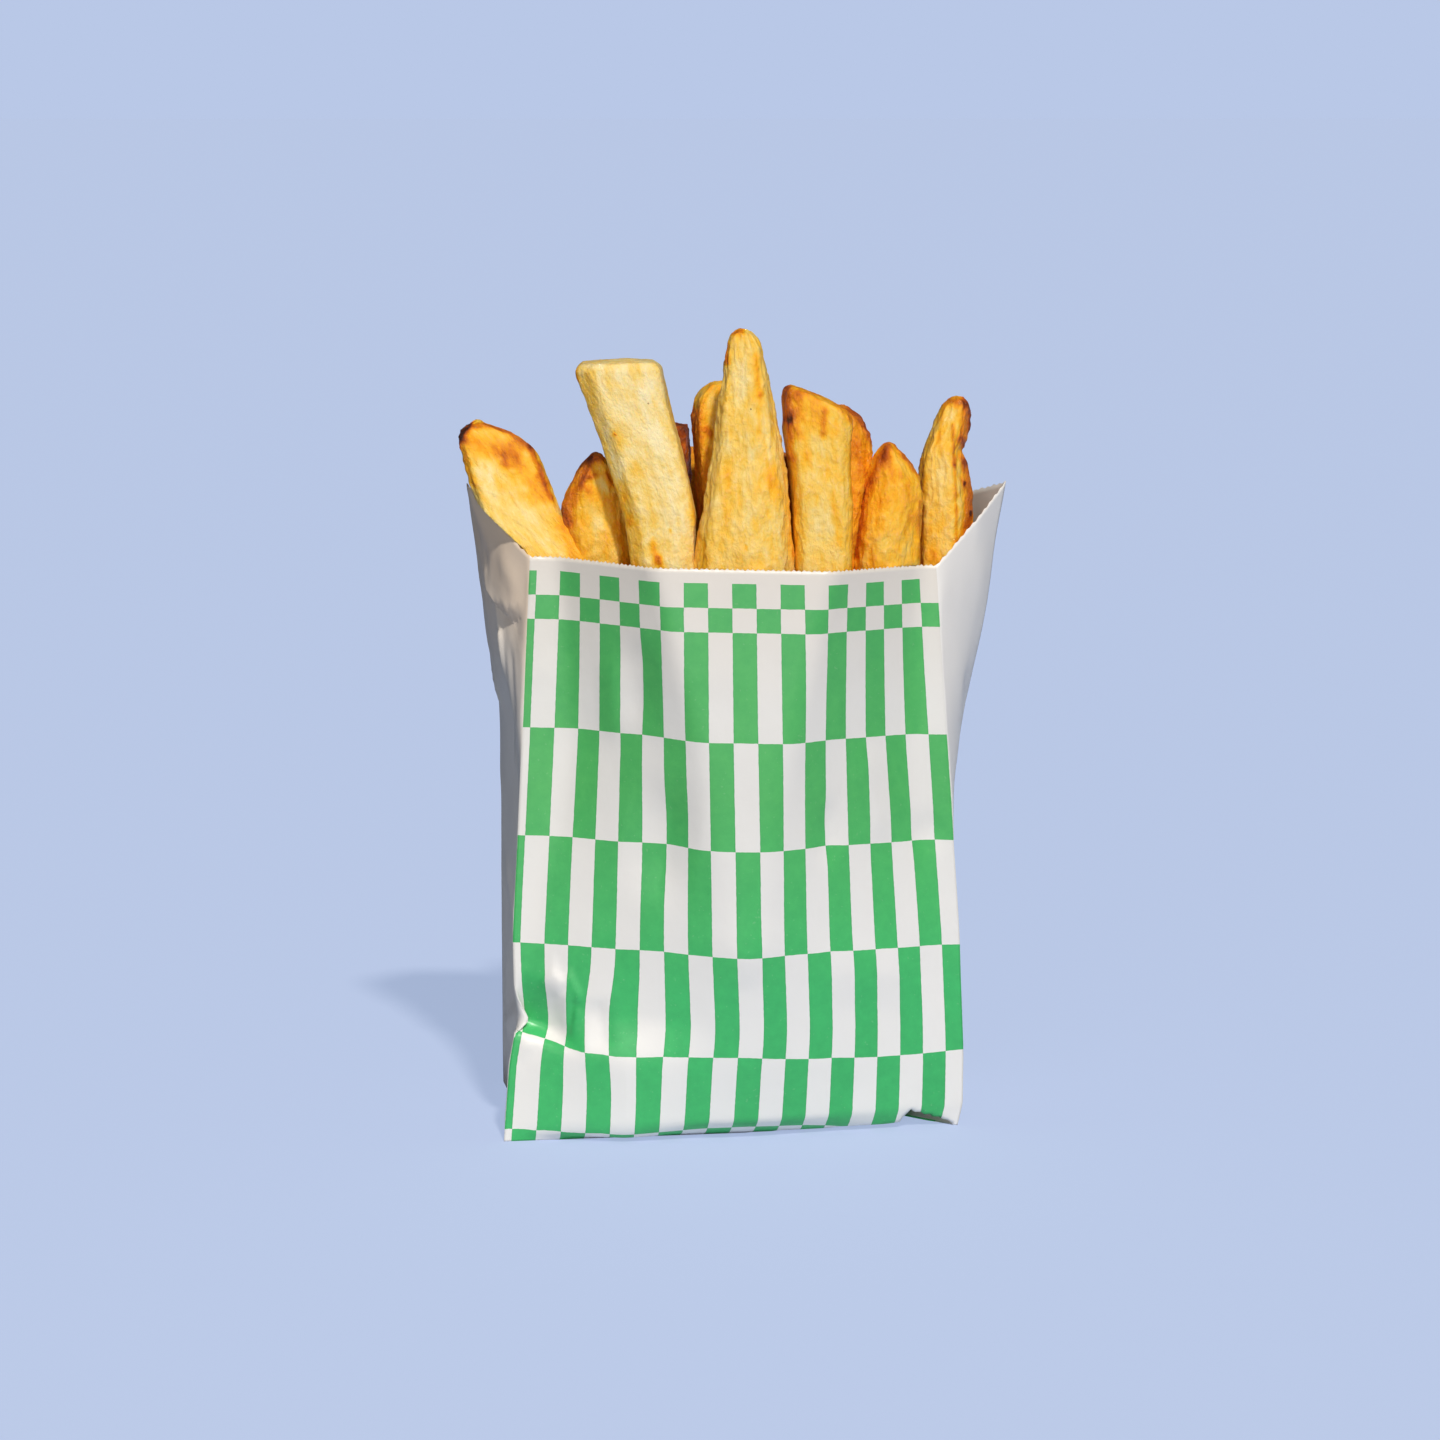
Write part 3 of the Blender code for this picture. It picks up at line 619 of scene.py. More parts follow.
# Each fry's sides as seen from the front: (height, left, right), then how deep it is: (height,
# middle, depth). The section is a many-sided cut, in shares of half the width and half the depth,
# the front at -1. Turn rolls it, end is the slope of the cut end. Toast is the base colour, 0 pale
# to 1 burnt. Marks run from (x, z) to (x, z) on the side that faces the front, with a radius and
# how much they add to the toast.
sections = {
    "baton": ((-1, 0.86), (-1, -0.86), (-0.88, -1), (0.88, -1), (1, -0.88), (1, 0.88), (0.86, 1), (-0.86, 1)),
    "spear": ((-1, 0.5), (-0.95, -0.45), (-0.45, -0.98), (0.55, -1), (1, -0.35), (0.92, 0.6), (0.3, 1),
              (-0.55, 0.95)),
    "wedge": ((-1, -0.5), (-0.86, -1), (0.86, -1), (1, -0.6), (0.9, 0.2), (0.4, 0.85), (-0.2, 1),
              (-0.8, 0.5)),
    "paleBaton": ((-1, -0.5), (-0.6, -0.95), (0.55, -1), (0.92, -0.84), (1, 0.0), (0.9, 0.95), (-0.92, 0.9)),
    "tallSpear": ((-1, 0.0), (-0.78, -0.72), (0.2, -1), (0.72, -0.78), (1, -0.1), (0.85, 0.7), (0.1, 1),
                  (-0.8, 0.8)),
    "broadSlant": ((-1, 0.3), (-0.9, -0.62), (-0.68, -0.9), (0.62, -1), (0.94, -0.72), (1, 0.7), (0.8, 1),
                   (-0.85, 0.95)),
    "shortDome": ((-1, 0.3), (-0.76, -0.62), (-0.35, -1), (0.25, -0.96), (0.9, -0.4), (1, 0.4), (0.4, 1),
                  (-0.6, 0.95)),
    "rightSpear": ((-1, 0.1), (-0.82, -0.66), (0.16, -1), (0.42, -0.82), (1, -0.1), (0.9, 0.8), (-0.8, 1)),
}
fries = {
    "leftWedge": dict(
        wrinkled=1.0, kind="wedge", section="wedge", turn=4, end=0.0, toast=0.185, cells=32,
        sides=((110, -35, -21), (125, -44, -30), (133.5, -51, -33.5), (139, -54.8, -37.3),
               (144.8, -57, -39.2), (150.8, -58.6, -41.7), (153.8, -59.5, -43.9),
               (156.2, -59.7, -47.6), (157.4, -58.6, -51.2), (158.0, -57.2, -53.4)),
        deep=((110, -20.0, 12), (127, -17.5, 12), (142, -13, 11.5), (154.5, -9.5, 9), (158, -9, 6.5)),
        marks=(((-60, 154.4), (-58.4, 157.4), 1.5, 0.72), ((-57, 158), (-50.3, 157.6), 0.7, 0.36),
               ((-50.3, 157.6), (-43.8, 153.2), 0.7, 0.34), ((-43.8, 153.2), (-39.2, 142), 0.7, 0.32),
               ((-57.0, 153.6), (-48, 152.0), 3.2, 0.28), ((-46, 150), (-41.6, 143.5), 2.6, 0.25),
               ((-49.8, 151.4), (-48.8, 149.4), 0.6, 0.16), ((-58.4, 150), (-56, 145), 0.9, 0.22),
               ((-51.5, 147), (-50.5, 144.5), 0.9, 0.14), ((-53.4, 150), (-52.4, 146.5), 1.3, -0.16),
               ((-46.5, 146.5), (-45.0, 144.0), 1.0, -0.12), ((-37, 136), (-34, 127), 1.6, 0.24),
               ((-52, 149.0), (-46, 144.5), 3.2, 0.05))),
    "leftSpear": dict(
        wrinkled=1.1, kind="spear", section="spear", turn=0, end=0.0, toast=0.34, cells=28,
        sides=((110, -36, -20), (130, -37.4, -21.2), (140, -37.2, -23.0), (144, -35.6, -24.1),
               (148.5, -33.4, -25.7), (150.6, -31.9, -27.0), (151.6, -30.9, -28.0)),
        deep=((104, -15, 12), (127, -16, 12), (141, -17, 10), (150, -18, 7), (152, -18, 5)),
        marks=(((-37, 139), (-31.5, 150.5), 1.9, 0.26), ((-36.6, 138), (-35.4, 128), 2.1, 0.32),
               ((-30.8, 147.2), (-29.6, 147.6), 0.7, 0.26), ((-32.6, 146.0), (-31.4, 148.6), 0.7, 0.22),
               ((-27.0, 147.7), (-26.2, 145.5), 0.8, 0.30), ((-31, 151.3), (-28, 151.3), 1.0, 0.30),
               ((-31, 144), (-27, 142.5), 1.8, 0.12), ((-29.6, 140), (-29.2, 137), 1.5, -0.10),
               ((-30, 131), (-29, 127), 1.8, -0.08), ((-24.6, 137), (-23.4, 128), 0.8, 0.2))),
    "paleBaton": dict(
        wrinkled=0.45, kind="baton", section="paleBaton", turn=0, end=0.03, toast=0.115, cells=34, edge=0.03,
        sides=((110, -19, -4.5), (129, -22.2, -8.4), (139.3, -23.6, -8.0), (146, -25.8, -9.2),
               (156.3, -29, -11.8), (164.4, -31.9, -13.9), (169.3, -33.8, -15.0),
               (171.2, -34.2, -15.1), (172.3, -33.8, -15.6)),
        deep=((104, -27, 13), (128, -26.5, 13.5), (146, -26, 13.5), (172, -25.4, 13.5)),
        marks=(((-33.2, 171), (-24.6, 142), 1.6, 0.16), ((-34.2, 171.8), (-33.6, 168.5), 0.5, 0.34),
               ((-31.0, 170), (-28.2, 161), 1.0, 0.07), ((-14.4, 168), (-8.2, 138), 0.8, 0.14),
               ((-23.8, 146), (-22.4, 139), 1.4, 0.24), ((-22.0, 138), (-21.0, 128), 1.6, 0.26),
               ((-17.6, 133.5), (-16.8, 130), 1.1, 0.40), ((-16.4, 131), (-15.6, 128), 0.8, 0.26),
               ((-25.7, 157.5), (-25.7, 157.4), 0.35, 0.4), ((-25.5, 157), (-25.2, 155), 1.7, 0.12),
               ((-21.5, 151), (-21, 149), 1.3, 0.12), ((-19, 146), (-17.6, 138), 0.9, 0.10),
               ((-20.0, 166), (-17.2, 156), 0.9, -0.08), ((-14.0, 136.8), (-14.0, 136.7), 0.3, 0.35))),
    "behindPale": dict(
        wrinkled=0.8, kind="baton", section="baton", turn=-12, end=0.0, toast=0.78, cells=14,
        sides=((104, -19, -7), (130, -20, -9), (150, -17.2, -8.4), (157, -15.6, -9.0)),
        deep=((104, -9, 11), (157, -8.5, 8)), marks=()),
    "slimMiddle": dict(
        wrinkled=0.9, kind="baton", section="baton", turn=10, end=0.02, toast=0.32, cells=26,
        sides=((104, -8.2, 4), (135, -6.8, 3.0), (145.7, -7.6, 2.6), (157.7, -8.4, 2.4), (163, -8.0, 2.0),
               (165.5, -6.8, 1.6), (166.6, -5.2, 0.6)),
        deep=((104, -13, 12), (140, -14, 11), (163, -13, 8), (166.6, -13, 6)),
        marks=(((-7.8, 160), (-7.2, 138), 1.3, 0.24), ((-5.4, 157.2), (-4.6, 156.2), 0.9, 0.28),
               ((-5.2, 153), (-5.0, 140), 0.7, 0.16), ((-5.0, 164), (-3, 163), 1.5, -0.08),
               ((-8.2, 164), (-8.2, 150), 0.7, 0.18), ((-4.0, 134), (-3.0, 128), 2.4, 0.2))),
    "tallSpear": dict(
        wrinkled=1.0, kind="spear", section="tallSpear", turn=0, end=0.0, toast=0.25, cells=36, edge=0.06,
        sides=((110, -8.9, 13.6), (128.6, -8.6, 13.0), (136.3, -7.9, 12.3), (145.3, -6.1, 11.5),
               (154.3, -4.7, 10.4), (163.2, -3.6, 8.5), (170.8, -2.3, 7.1), (176.1, -1.6, 5.7),
               (177.8, -1.3, 4.8), (178.6, -0.8, 4.0)),
        deep=((104, -30, 14), (128, -30.5, 15), (139, -30.5, 14), (158, -30, 11), (174, -29.6, 8),
              (178.6, -29.5, 5.5)),
        marks=(((-1.9, 177), (-1.6, 172.5), 0.6, 0.44), ((-1.2, 178.6), (1.6, 179.2), 0.6, 0.36),
               ((4.4, 174), (5.2, 166), 0.7, 0.18), ((5.2, 166), (5.0, 158), 0.6, 0.16),
               ((6.0, 157), (7.4, 146), 0.6, 0.12), ((-8.2, 136), (-7.2, 128), 1.6, 0.14),
               ((8.2, 150), (8.9, 143), 1.1, 0.14), ((1.2, 172), (1.4, 166), 1.4, -0.10),
               ((6.2, 160), (7.0, 153), 1.0, -0.12), ((3.2, 157), (3.0, 153), 1.0, -0.08),
               ((-1.0, 152), (-2.4, 140), 0.8, 0.10), ((2.6, 148), (2.2, 138), 1.4, -0.08),
               ((2.1, 133.6), (2.1, 133.5), 0.3, 0.4), ((11.6, 144), (12.6, 131), 0.8, 0.14),
               ((6.5, 136), (8.5, 130), 2.2, -0.06))),
    "broadSlant": dict(
        wrinkled=0.6, kind="baton", section="broadSlant", turn=0, end=-0.47, toast=0.27, cells=32, edge=0.08,
        sides=((110, 13, 26), (128.2, 12.8, 25.5), (141.4, 12.4, 25.6), (150.4, 11.8, 25.2),
               (156, 10.6, 25.3), (161.4, 10.3, 25.6), (163.8, 10.7, 25.5), (164.7, 11.6, 24.8)),
        deep=((104, -28, 14), (128, -28.5, 14.5), (147, -28.5, 14), (164, -28, 12)),
        marks=(((11.2, 168.5), (11.2, 160.5), 1.1, 0.46), ((11.4, 160), (12.0, 152), 0.8, 0.30),
               ((13, 169), (19, 167), 1.2, 0.26), ((19, 167), (25, 162), 1.2, 0.30),
               ((19.1, 162), (18.8, 157.4), 0.8, 0.24), ((16.2, 165), (17.4, 160), 2.6, 0.18),
               ((13.4, 166), (13.2, 157), 1.2, 0.22), ((12.6, 152), (13.0, 128), 0.7, 0.16),
               ((25.4, 160), (25.4, 128), 1.0, 0.24), ((15.5, 153), (16.2, 150), 1.0, 0.08),
               ((17.6, 142), (19.5, 130), 2.6, -0.08), ((21.5, 158), (22, 148), 1.2, 0.06),
               ((21.0, 145), (22.0, 134), 0.7, 0.10))),
    "behindSlant": dict(
        wrinkled=1.2, kind="spear", section="spear", turn=0, end=0.0, toast=0.50, cells=26,
        sides=((104, 16.5, 28), (131.9, 17, 28.1), (137, 17.4, 29.0), (141.6, 18, 29.9), (149, 19, 30.9),
               (155, 19.2, 30.0), (159.6, 20, 28.4), (161.6, 22, 25.8)),
        deep=((104, -17, 12), (134, -18, 12), (157, -18, 9), (161.6, -18, 6)),
        marks=(((26, 162), (30.4, 155.5), 1.1, 0.26), ((30.9, 152), (30.6, 146), 0.7, 0.18),
               ((28.6, 136), (28, 130), 0.9, 0.14), ((29.4, 158.4), (30.2, 156.8), 0.7, 0.2))),
    "shortDome": dict(
        wrinkled=1.0, kind="spear", section="shortDome", turn=0, end=0.0, toast=0.385, cells=30, edge=0.08,
        sides=((110, 26, 41), (128.1, 26.2, 40.9), (136.3, 27.1, 41.2), (143.1, 28.4, 41.6),
               (146.8, 29.1, 40.8), (150.8, 30.4, 38.4), (152.8, 31.4, 36.4), (153.7, 32.2, 35.4)),
        deep=((104, -22, 12), (128, -22.5, 12.5), (140, -23, 12), (149.5, -23, 9.5), (154, -23, 6.5)),
        marks=(((33.4, 154), (28.8, 144), 0.9, 0.24), ((28.4, 143), (26.8, 130), 0.9, 0.30),
               ((33.2, 151.5), (35.0, 148), 1.6, 0.12), ((35.5, 154), (40.8, 147), 0.7, 0.22),
               ((30.5, 147), (32, 141), 1.6, 0.10), ((33.5, 140), (36, 137), 2.0, -0.06),
               ((37.6, 145), (38.2, 139), 1.4, 0.06), ((31.0, 133), (35, 129.5), 2.2, -0.10),
               ((40.6, 142), (40.4, 130), 0.8, 0.16))),
    "rightSpear": dict(
        wrinkled=0.9, kind="wedge", section="rightSpear", turn=0, end=0.0, toast=0.27, cells=32, edge=0.08,
        sides=((104, 38, 50.5), (126.4, 41.2, 53), (137.1, 41.4, 53.9), (144.5, 41.3, 53.2),
               (148.6, 41.7, 52.2), (150.9, 42.3, 51.3), (152.2, 42.8, 50.4), (153.8, 43.4, 52.3),
               (156.6, 44.4, 52.9), (160.2, 45.8, 53.0), (162.0, 46.8, 52.6), (162.8, 47.8, 51.8)),
        deep=((104, -13, 12), (128, -13, 13), (145, -12.5, 12), (160, -11.5, 9), (163, -11.5, 6)),
        marks=(((51.9, 161), (51.6, 150), 1.7, 0.34), ((52.6, 149), (52.8, 130), 1.9, 0.42),
               ((48.0, 162.8), (52.4, 162.2), 1.0, 0.40), ((52.8, 161), (52.9, 156), 0.6, 0.34),
               ((51.6, 145), (51.5, 144.6), 0.35, 0.5), ((52.9, 138.4), (52.9, 138.0), 0.35, 0.5),
               ((44, 129.5), (46, 127), 1.6, 0.22), ((46.8, 162), (45.4, 154), 0.6, 0.16),
               ((48.6, 158), (48.8, 149), 0.5, 0.26), ((48.9, 149), (49.4, 132), 0.4, 0.26),
               ((42.2, 150), (42.0, 132), 0.8, 0.12), ((46.2, 147), (46.0, 141), 1.2, -0.06),
               ((50.6, 154.5), (51.4, 152.5), 0.8, 0.34))),
    "midLeft": dict(kind="baton", section="baton", turn=-6, end=0.1, toast=0.46, cells=13,
                    sides=((104, -40.5, -27.5), (136.5, -46, -34)),
                    deep=((104, -1, 11), (136.5, 0, 10)), marks=()),
    "midCentre": dict(kind="baton", section="baton", turn=8, end=0.1, toast=0.66, cells=14,
                      sides=((104, 2.5, 15.5), (150, 4, 15)), deep=((104, -7, 12), (150, -6, 10)), marks=()),
    "midRight": dict(kind="baton", section="baton", turn=12, end=-0.2, toast=0.55, cells=13,
                     sides=((104, 30, 42), (136, 31, 43)), deep=((104, -8, 12), (136, -7, 11)), marks=()),
    "backFarLeft": dict(kind="wedge", section="wedge", turn=190, end=0.2, toast=0.40, cells=16,
                        sides=((104, -45.5, -32.5), (138, -49.5, -38.6), (141, -48, -41)),
                        deep=((104, 8, 11), (138, 9, 10), (141, 9, 7)), marks=()),
    "backLeft": dict(kind="baton", section="baton", turn=-8, end=0.15, toast=0.33, cells=16,
                     sides=((104, -33, -19), (136, -39, -27)), deep=((104, 8, 12), (136, 8.5, 10)), marks=()),
    "backPale": dict(kind="baton", section="baton", turn=12, end=-0.1, toast=0.24, cells=17,
                     sides=((104, -24.5, -11.5), (158, -26, -15)),
                     deep=((104, 7, 12), (158, 4, 10)), marks=()),
    "backMiddle": dict(kind="spear", section="spear", turn=175, end=0.15, toast=0.46, cells=17,
                       sides=((104, -11, 3), (140, -13.2, -0.8), (147, -12, -3.4), (150, -10, -6)),
                       deep=((104, 9, 11), (141, 10, 9.5), (150, 10, 5)), marks=()),
    "backSlant": dict(kind="baton", section="baton", turn=-12, end=0.35, toast=0.38, cells=17,
                      sides=((104, 1, 15), (150, 11, 23)), deep=((104, 7, 12), (150, 8, 10)), marks=()),
    "backRight": dict(kind="spear", section="spear", turn=160, end=0.0, toast=0.44, cells=16,
                      sides=((104, 18, 32), (132, 23, 35.4), (138.5, 26, 34), (141, 28.4, 32)),
                      deep=((104, 7, 12), (133, 9, 10), (141, 9, 5)), marks=()),
    "backFarRight": dict(kind="wedge", section="wedge", turn=170, end=-0.2, toast=0.5, cells=16,
                         sides=((104, 32, 44), (140, 37.6, 47.8), (144, 39.5, 46)),
                         deep=((104, 5, 12), (140, 6, 9), (144, 6, 7)), marks=()),
}

fryForm = {
    "foot": 98.0,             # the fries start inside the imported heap
    "wallGap": 0.95,          # from the outside of the paper
    "soften": 0.9,            # how far the measured outlines are rounded
    "swell": (0.30, 9.0), "wrinkle": (0.36, (1.7, 1.7, 3.8)), "blister": (0.20, 1.4), "crisp": 0.46,
}

bagLevels = np.linspace(0.6, 1.0, 60)
bagWall, wallNormals, wallField = foldedPaper(bagLevels)[:3]
bagWall = (bagWall + wallNormals * wallField[:, :, None])[:, :-1:2]


def wallAt(height):  # the bag's inside at a height, with each place's rim carried straight up
    columns = bagWall.swapaxes(0, 1)
    line = np.array([complex(np.interp(height, c[:, 2], c[:, 0]), np.interp(height, c[:, 2], c[:, 1]))
                     for c in columns])
    ahead = np.roll(line, -1) - np.roll(line, 1)
    return line + 1j * ahead / np.abs(ahead) * fryForm["wallGap"]


wallSteps = np.arange(96.0, 151.0, 0.5)
wallLines = [wallAt(min(height, 144.0)) for height in wallSteps]
wallRims = bagWall[-1, :, 2]


def keepInside(points):  # points of a fry that lie outside the paper move to its nearest place
    spots = points[:, 0] + 1j * points[:, 1]
    layer = np.clip(np.rint((points[:, 2] - wallSteps[0]) * 2).astype(int), 0, len(wallSteps))
    moved = spots.copy()
    for step in np.unique(layer):
        if step >= len(wallSteps):
            continue
        chosen = np.nonzero(layer == step)[0]
        line = wallLines[step]
        after = np.roll(line, -1)
        here = spots[chosen][:, None]
        crosses = (line.imag > here.imag) != (after.imag > here.imag)
        share = (here.imag - line.imag) / np.where(after.imag == line.imag, 1e-9, after.imag - line.imag)
        inside = (crosses & (here.real < line.real + (after.real - line.real) * share)).sum(1) % 2 == 1
        along = after - line
        t = np.clip(((here - line) * along.conj()).real / np.abs(along) ** 2, 0, 1)
        nearest = line + along * t
        gap = np.abs(nearest - here)
        best = gap.argmin(1)
        target = nearest[np.arange(len(chosen)), best]
        far = gap[np.arange(len(chosen)), best]
        # above the rim the paper lets go
        part = t[np.arange(len(chosen)), best]
        rim = wallRims[best] * (1 - part) + np.roll(wallRims, -1)[best] * part
        allowed = 1.6 * np.clip(points[chosen, 2] - rim + 0.6, 0, None)
        pull = np.where(inside, 0.0, np.clip(far - allowed, 0, None) / np.maximum(far, 1e-9))
        moved[chosen] = spots[chosen] + (target - spots[chosen]) * pull
    return np.stack((moved.real, moved.imag, points[:, 2]), axis=1)


def rounded(table, heights, width):  # the table's other columns at these heights, bends softened
    table = np.array(table, float)
    fine = np.linspace(heights[0], heights[-1], 400)
    reach = max(2, int(3 * width / (fine[1] - fine[0])))
    kernel = np.exp(-0.5 * (np.arange(-reach, reach + 1) * (fine[1] - fine[0]) / width) ** 2)
    columns = []
    for column in range(1, table.shape[1]):
        slope = (table[1, column] - table[0, column]) / (table[1, 0] - table[0, 0])
        values = np.interp(fine, table[:, 0], table[:, column])
        values = np.where(fine < table[0, 0], table[0, column] + slope * (fine - table[0, 0]), values)
        padded = np.pad(values, reach, mode="reflect", reflect_type="odd")
        columns.append(np.interp(heights, fine, np.convolve(padded, kernel / kernel.sum(), mode="valid")))
    return columns


def sectionReach(name, turn):
    # how far the section reaches at each angle, its corners softened, rolled and fitted to -1..1
    corners = np.array([complex(*corner) for corner in sections[name]])
    after = np.roll(corners, -1)
    angle = np.linspace(-math.pi, math.pi, 721)[:-1]
    rays = np.exp(1j * angle)[:, None]
    edge = after - corners
    cross = rays.real * edge.imag - rays.imag * edge.real
    distance = (corners.real * edge.imag - corners.imag * edge.real) / np.where(cross == 0, 1e-9, cross)
    along = (corners.real * rays.imag - corners.imag * rays.real) / np.where(cross == 0, 1e-9, cross)
    fits = (distance > 0) & (along >= -1e-6) & (along <= 1 + 1e-6)
    reach = np.where(fits, distance, 9).min(1)
    kernel = np.exp(-0.5 * (np.arange(-24, 25) / 7.0) ** 2)
    reach = np.convolve(np.concatenate((reach[-24:], reach, reach[:24])), kernel / kernel.sum(), mode="valid")
    rim = reach * np.exp(1j * (angle + math.radians(turn)))
    return angle, rim


def sectionPoints(a, b, form):  # a point of the square (-1 to 1) on the fry's own section
    angle, rim = sectionReach(form["section"], form["turn"])
    ring = np.maximum(np.abs(a), np.abs(b))
    here = np.arctan2(b, a)
    x = np.interp(here, angle, rim.real, period=2 * math.pi)
    y = np.interp(here, angle, rim.imag, period=2 * math.pi)
    x = 2 * (x - rim.real.min()) / (rim.real.max() - rim.real.min()) - 1
    y = 2 * (y - rim.imag.min()) / (rim.imag.max() - rim.imag.min()) - 1
    return x * ring, y * ring, ring, here


def markAmount(points, normals, marks, seed):
    total = np.zeros(len(points))
    warp = noiseAt(points, 1.7, seed + 5.0)
    facing = smoothStep((0.45 - normals[:, 1]) / 0.5)
    spot = points[:, 0] + 1j * points[:, 2]
    for (x0, z0), (x1, z1), radius, amount in marks:
        a, b = complex(x0, z0), complex(x1, z1)
        along = b - a
        t = np.clip(((spot - a) * np.conj(along)).real / max(1e-6, abs(along) ** 2), 0, 1)
        gap = np.abs(spot - a - along * t) / radius
        total += amount * facing * np.exp(-(gap * (1 + 0.45 * warp)) ** 2)
    return total


def makeFry(name, form, seed):
    cells = form["cells"]
    foot, top = fryForm["foot"], form["sides"][-1][0]
    width = form["sides"][0][2] - form["sides"][0][1]
    lengthCuts = max(2, round((top - foot) / width))
    pickOnly()
    bpy.ops.mesh.primitive_cube_add(size=2)
    fry = bpy.context.object
    fry.name = fry.data.name = name
    bpy.ops.object.mode_set(mode="EDIT")
    bpy.ops.mesh.select_mode(type="EDGE")
    bpy.ops.mesh.select_all(action="SELECT")
    bpy.ops.mesh.subdivide(number_cuts=cells - 1)
    bpy.ops.mesh.select_all(action="DESELECT")
    shape = bmesh.from_edit_mesh(fry.data)
    for line in shape.edges:
        if abs(line.verts[0].co.z - line.verts[1].co.z) > 1e-4:
            line.select_set(True)
    bmesh.update_edit_mesh(fry.data)
    bpy.ops.mesh.subdivide(number_cuts=lengthCuts - 1)
    bpy.ops.object.mode_set(mode="OBJECT")
    cube = readPoints(fry)
    share = (cube[:, 2] + 1) / 2
    heights = foot + (top - foot) * share
    levels = np.linspace(foot, top, 300)
    left, right = rounded(form["sides"], levels, fryForm["soften"])
    middle, depth = rounded(form["deep"], levels, 2.0)
    left, right, middle, depth = (np.interp(heights, levels, track)
                                  for track in (left, right, middle, depth))
    x, y, ring, here = sectionPoints(cube[:, 0], cube[:, 1], form)
    # the cut end's edge is a little worn
    worn = 1 - 0.10 * np.clip((heights - (top - 1.6)) / 1.6, 0, 1) ** 2
    u = 0.5 * (right - left) * x * worn
    v = 0.5 * depth * y * worn
    tilt = form["end"] * smoothStep((heights - (top - 12)) / 12)
    endCap = share > 1 - 1e-6
    dome = np.where(endCap, 0.7 * (1 - ring ** 2), 0.0)
    points = np.stack((0.5 * (left + right) + u, middle + v, heights + tilt * u + dome), axis=1)
    writePoints(fry, points)
    normals = readNormals(fry)
    local = np.stack((u, v, heights), axis=1)
    # corners crisp and brown more than flat sides do
    angle, rim = sectionReach(form["section"], form["turn"])
    size = np.abs(rim)
    sharp = smoothStep((size - 0.5 * (np.roll(size, 45) + np.roll(size, -45)) - 0.04) / 0.22)
    corner = np.interp(here, angle, sharp, period=2 * math.pi) * np.where(ring > 0.9, 1.0, 0.0)
    nearEnd = smoothStep((heights - (top - 4)) / 4)
    patches = noiseAt(local, (3.4, 3.4, 6.0), seed + 1.0)
    toast = form["toast"] + 0.10 * patches + 0.05 * noiseAt(local, (1.4, 1.4, 3.2), seed + 2.0)
    edge = form.get("edge", 0.12)
    toast += edge * corner * (1 + 0.8 * noiseAt(local, 3.0, seed + 7.0)) + 0.6 * edge * nearEnd
    # painted shade: faces turned towards the back are painted a little browner
    toast += 0.10 * smoothStep((normals[:, 1] - 0.1) / 0.5)
    toast = np.clip(toast + markAmount(points, normals, form["marks"], seed), 0.0, 1.0)
    crisped = smoothStep((toast - 0.42) / 0.35)
    # relief: a slow swell, wrinkles where the surface has lifted, blisters on the crisped parts
    swell, wrinkle, blister = fryForm["swell"], fryForm["wrinkle"], fryForm["blister"]
    wrinkled = form.get("wrinkled", 0.7)
    lift = swell[0] * noiseAt(local, swell[1], seed + 3.0)
    folds = np.clip(1 - 2.6 * np.abs(noiseAt(local, wrinkle[1], seed + 4.0)), 0, 1) ** 1.5
    lifted = smoothStep(0.5 + 1.4 * noiseAt(local, 5.0, seed + 9.0))
    lift += wrinkled * wrinkle[0] * (folds - 0.35) * (0.35 + 0.65 * lifted)
    lift += wrinkled * blister[0] * noiseAt(local, blister[1], seed + 6.0)
    bumpy = np.maximum(0, noiseAt(local, (1.2, 1.2, 1.5), seed + 8.0))
    lift += fryForm["crisp"] * (0.5 * corner + 0.9 * crisped) * bumpy
    points = points + normals * lift[:, None]
    writePoints(fry, keepInside(points))
    writeAttribute(fry, "toast", toast)
    writeAttribute(fry, "crust", np.clip(crisped + 0.4 * corner, 0, 1))
    # the wrinkles' ridges, where the painted highlight goes
    writeAttribute(fry, "wrinkleHighlight", folds)
    grain = fry.data.attributes.new("grain", "FLOAT_VECTOR", "POINT")
    grain.data.foreach_set("vector", (local + seed * 13.0).astype(np.float32).ravel())
    pickOnly(fry)
    bpy.ops.object.shade_smooth()
    return fry


# Deep-fried potato: pale waxy flesh that turns gold and then brown where the water has left it,
# blistered at the corners, with a thin film of oil that gives it a broken gloss.
fryLook = {
    "colours": ((0.00, "#fbe7b0"), (0.10, "#f8db90"), (0.20, "#f5cd67"), (0.30, "#f6c143"),
                (0.40, "#f9b420"), (0.50, "#f39f10"), (0.60, "#e5840a"), (0.72, "#c9630a"),
                (0.84, "#9a420c"), (0.94, "#65290a"), (1.00, "#451a08")),
    # the pale cream colour is a painted highlight for the wrinkles
    "wrinkleHighlight": "#ffefc4", "crumb": "#6a4214", "rough": (0.38, 0.64),
    "streaks": 0.20, "clouds": 0.26, "cells": 0.26,       # how far each texture shifts the toast
    "oil": 0.3, "oilRough": 0.08, "oilIndex": 1.46, "index": 1.42, "level": 0.3,
    "under": 0.18, "underRadius": (1.0, 0.45, 0.12), "underScale": 0.0014,
}


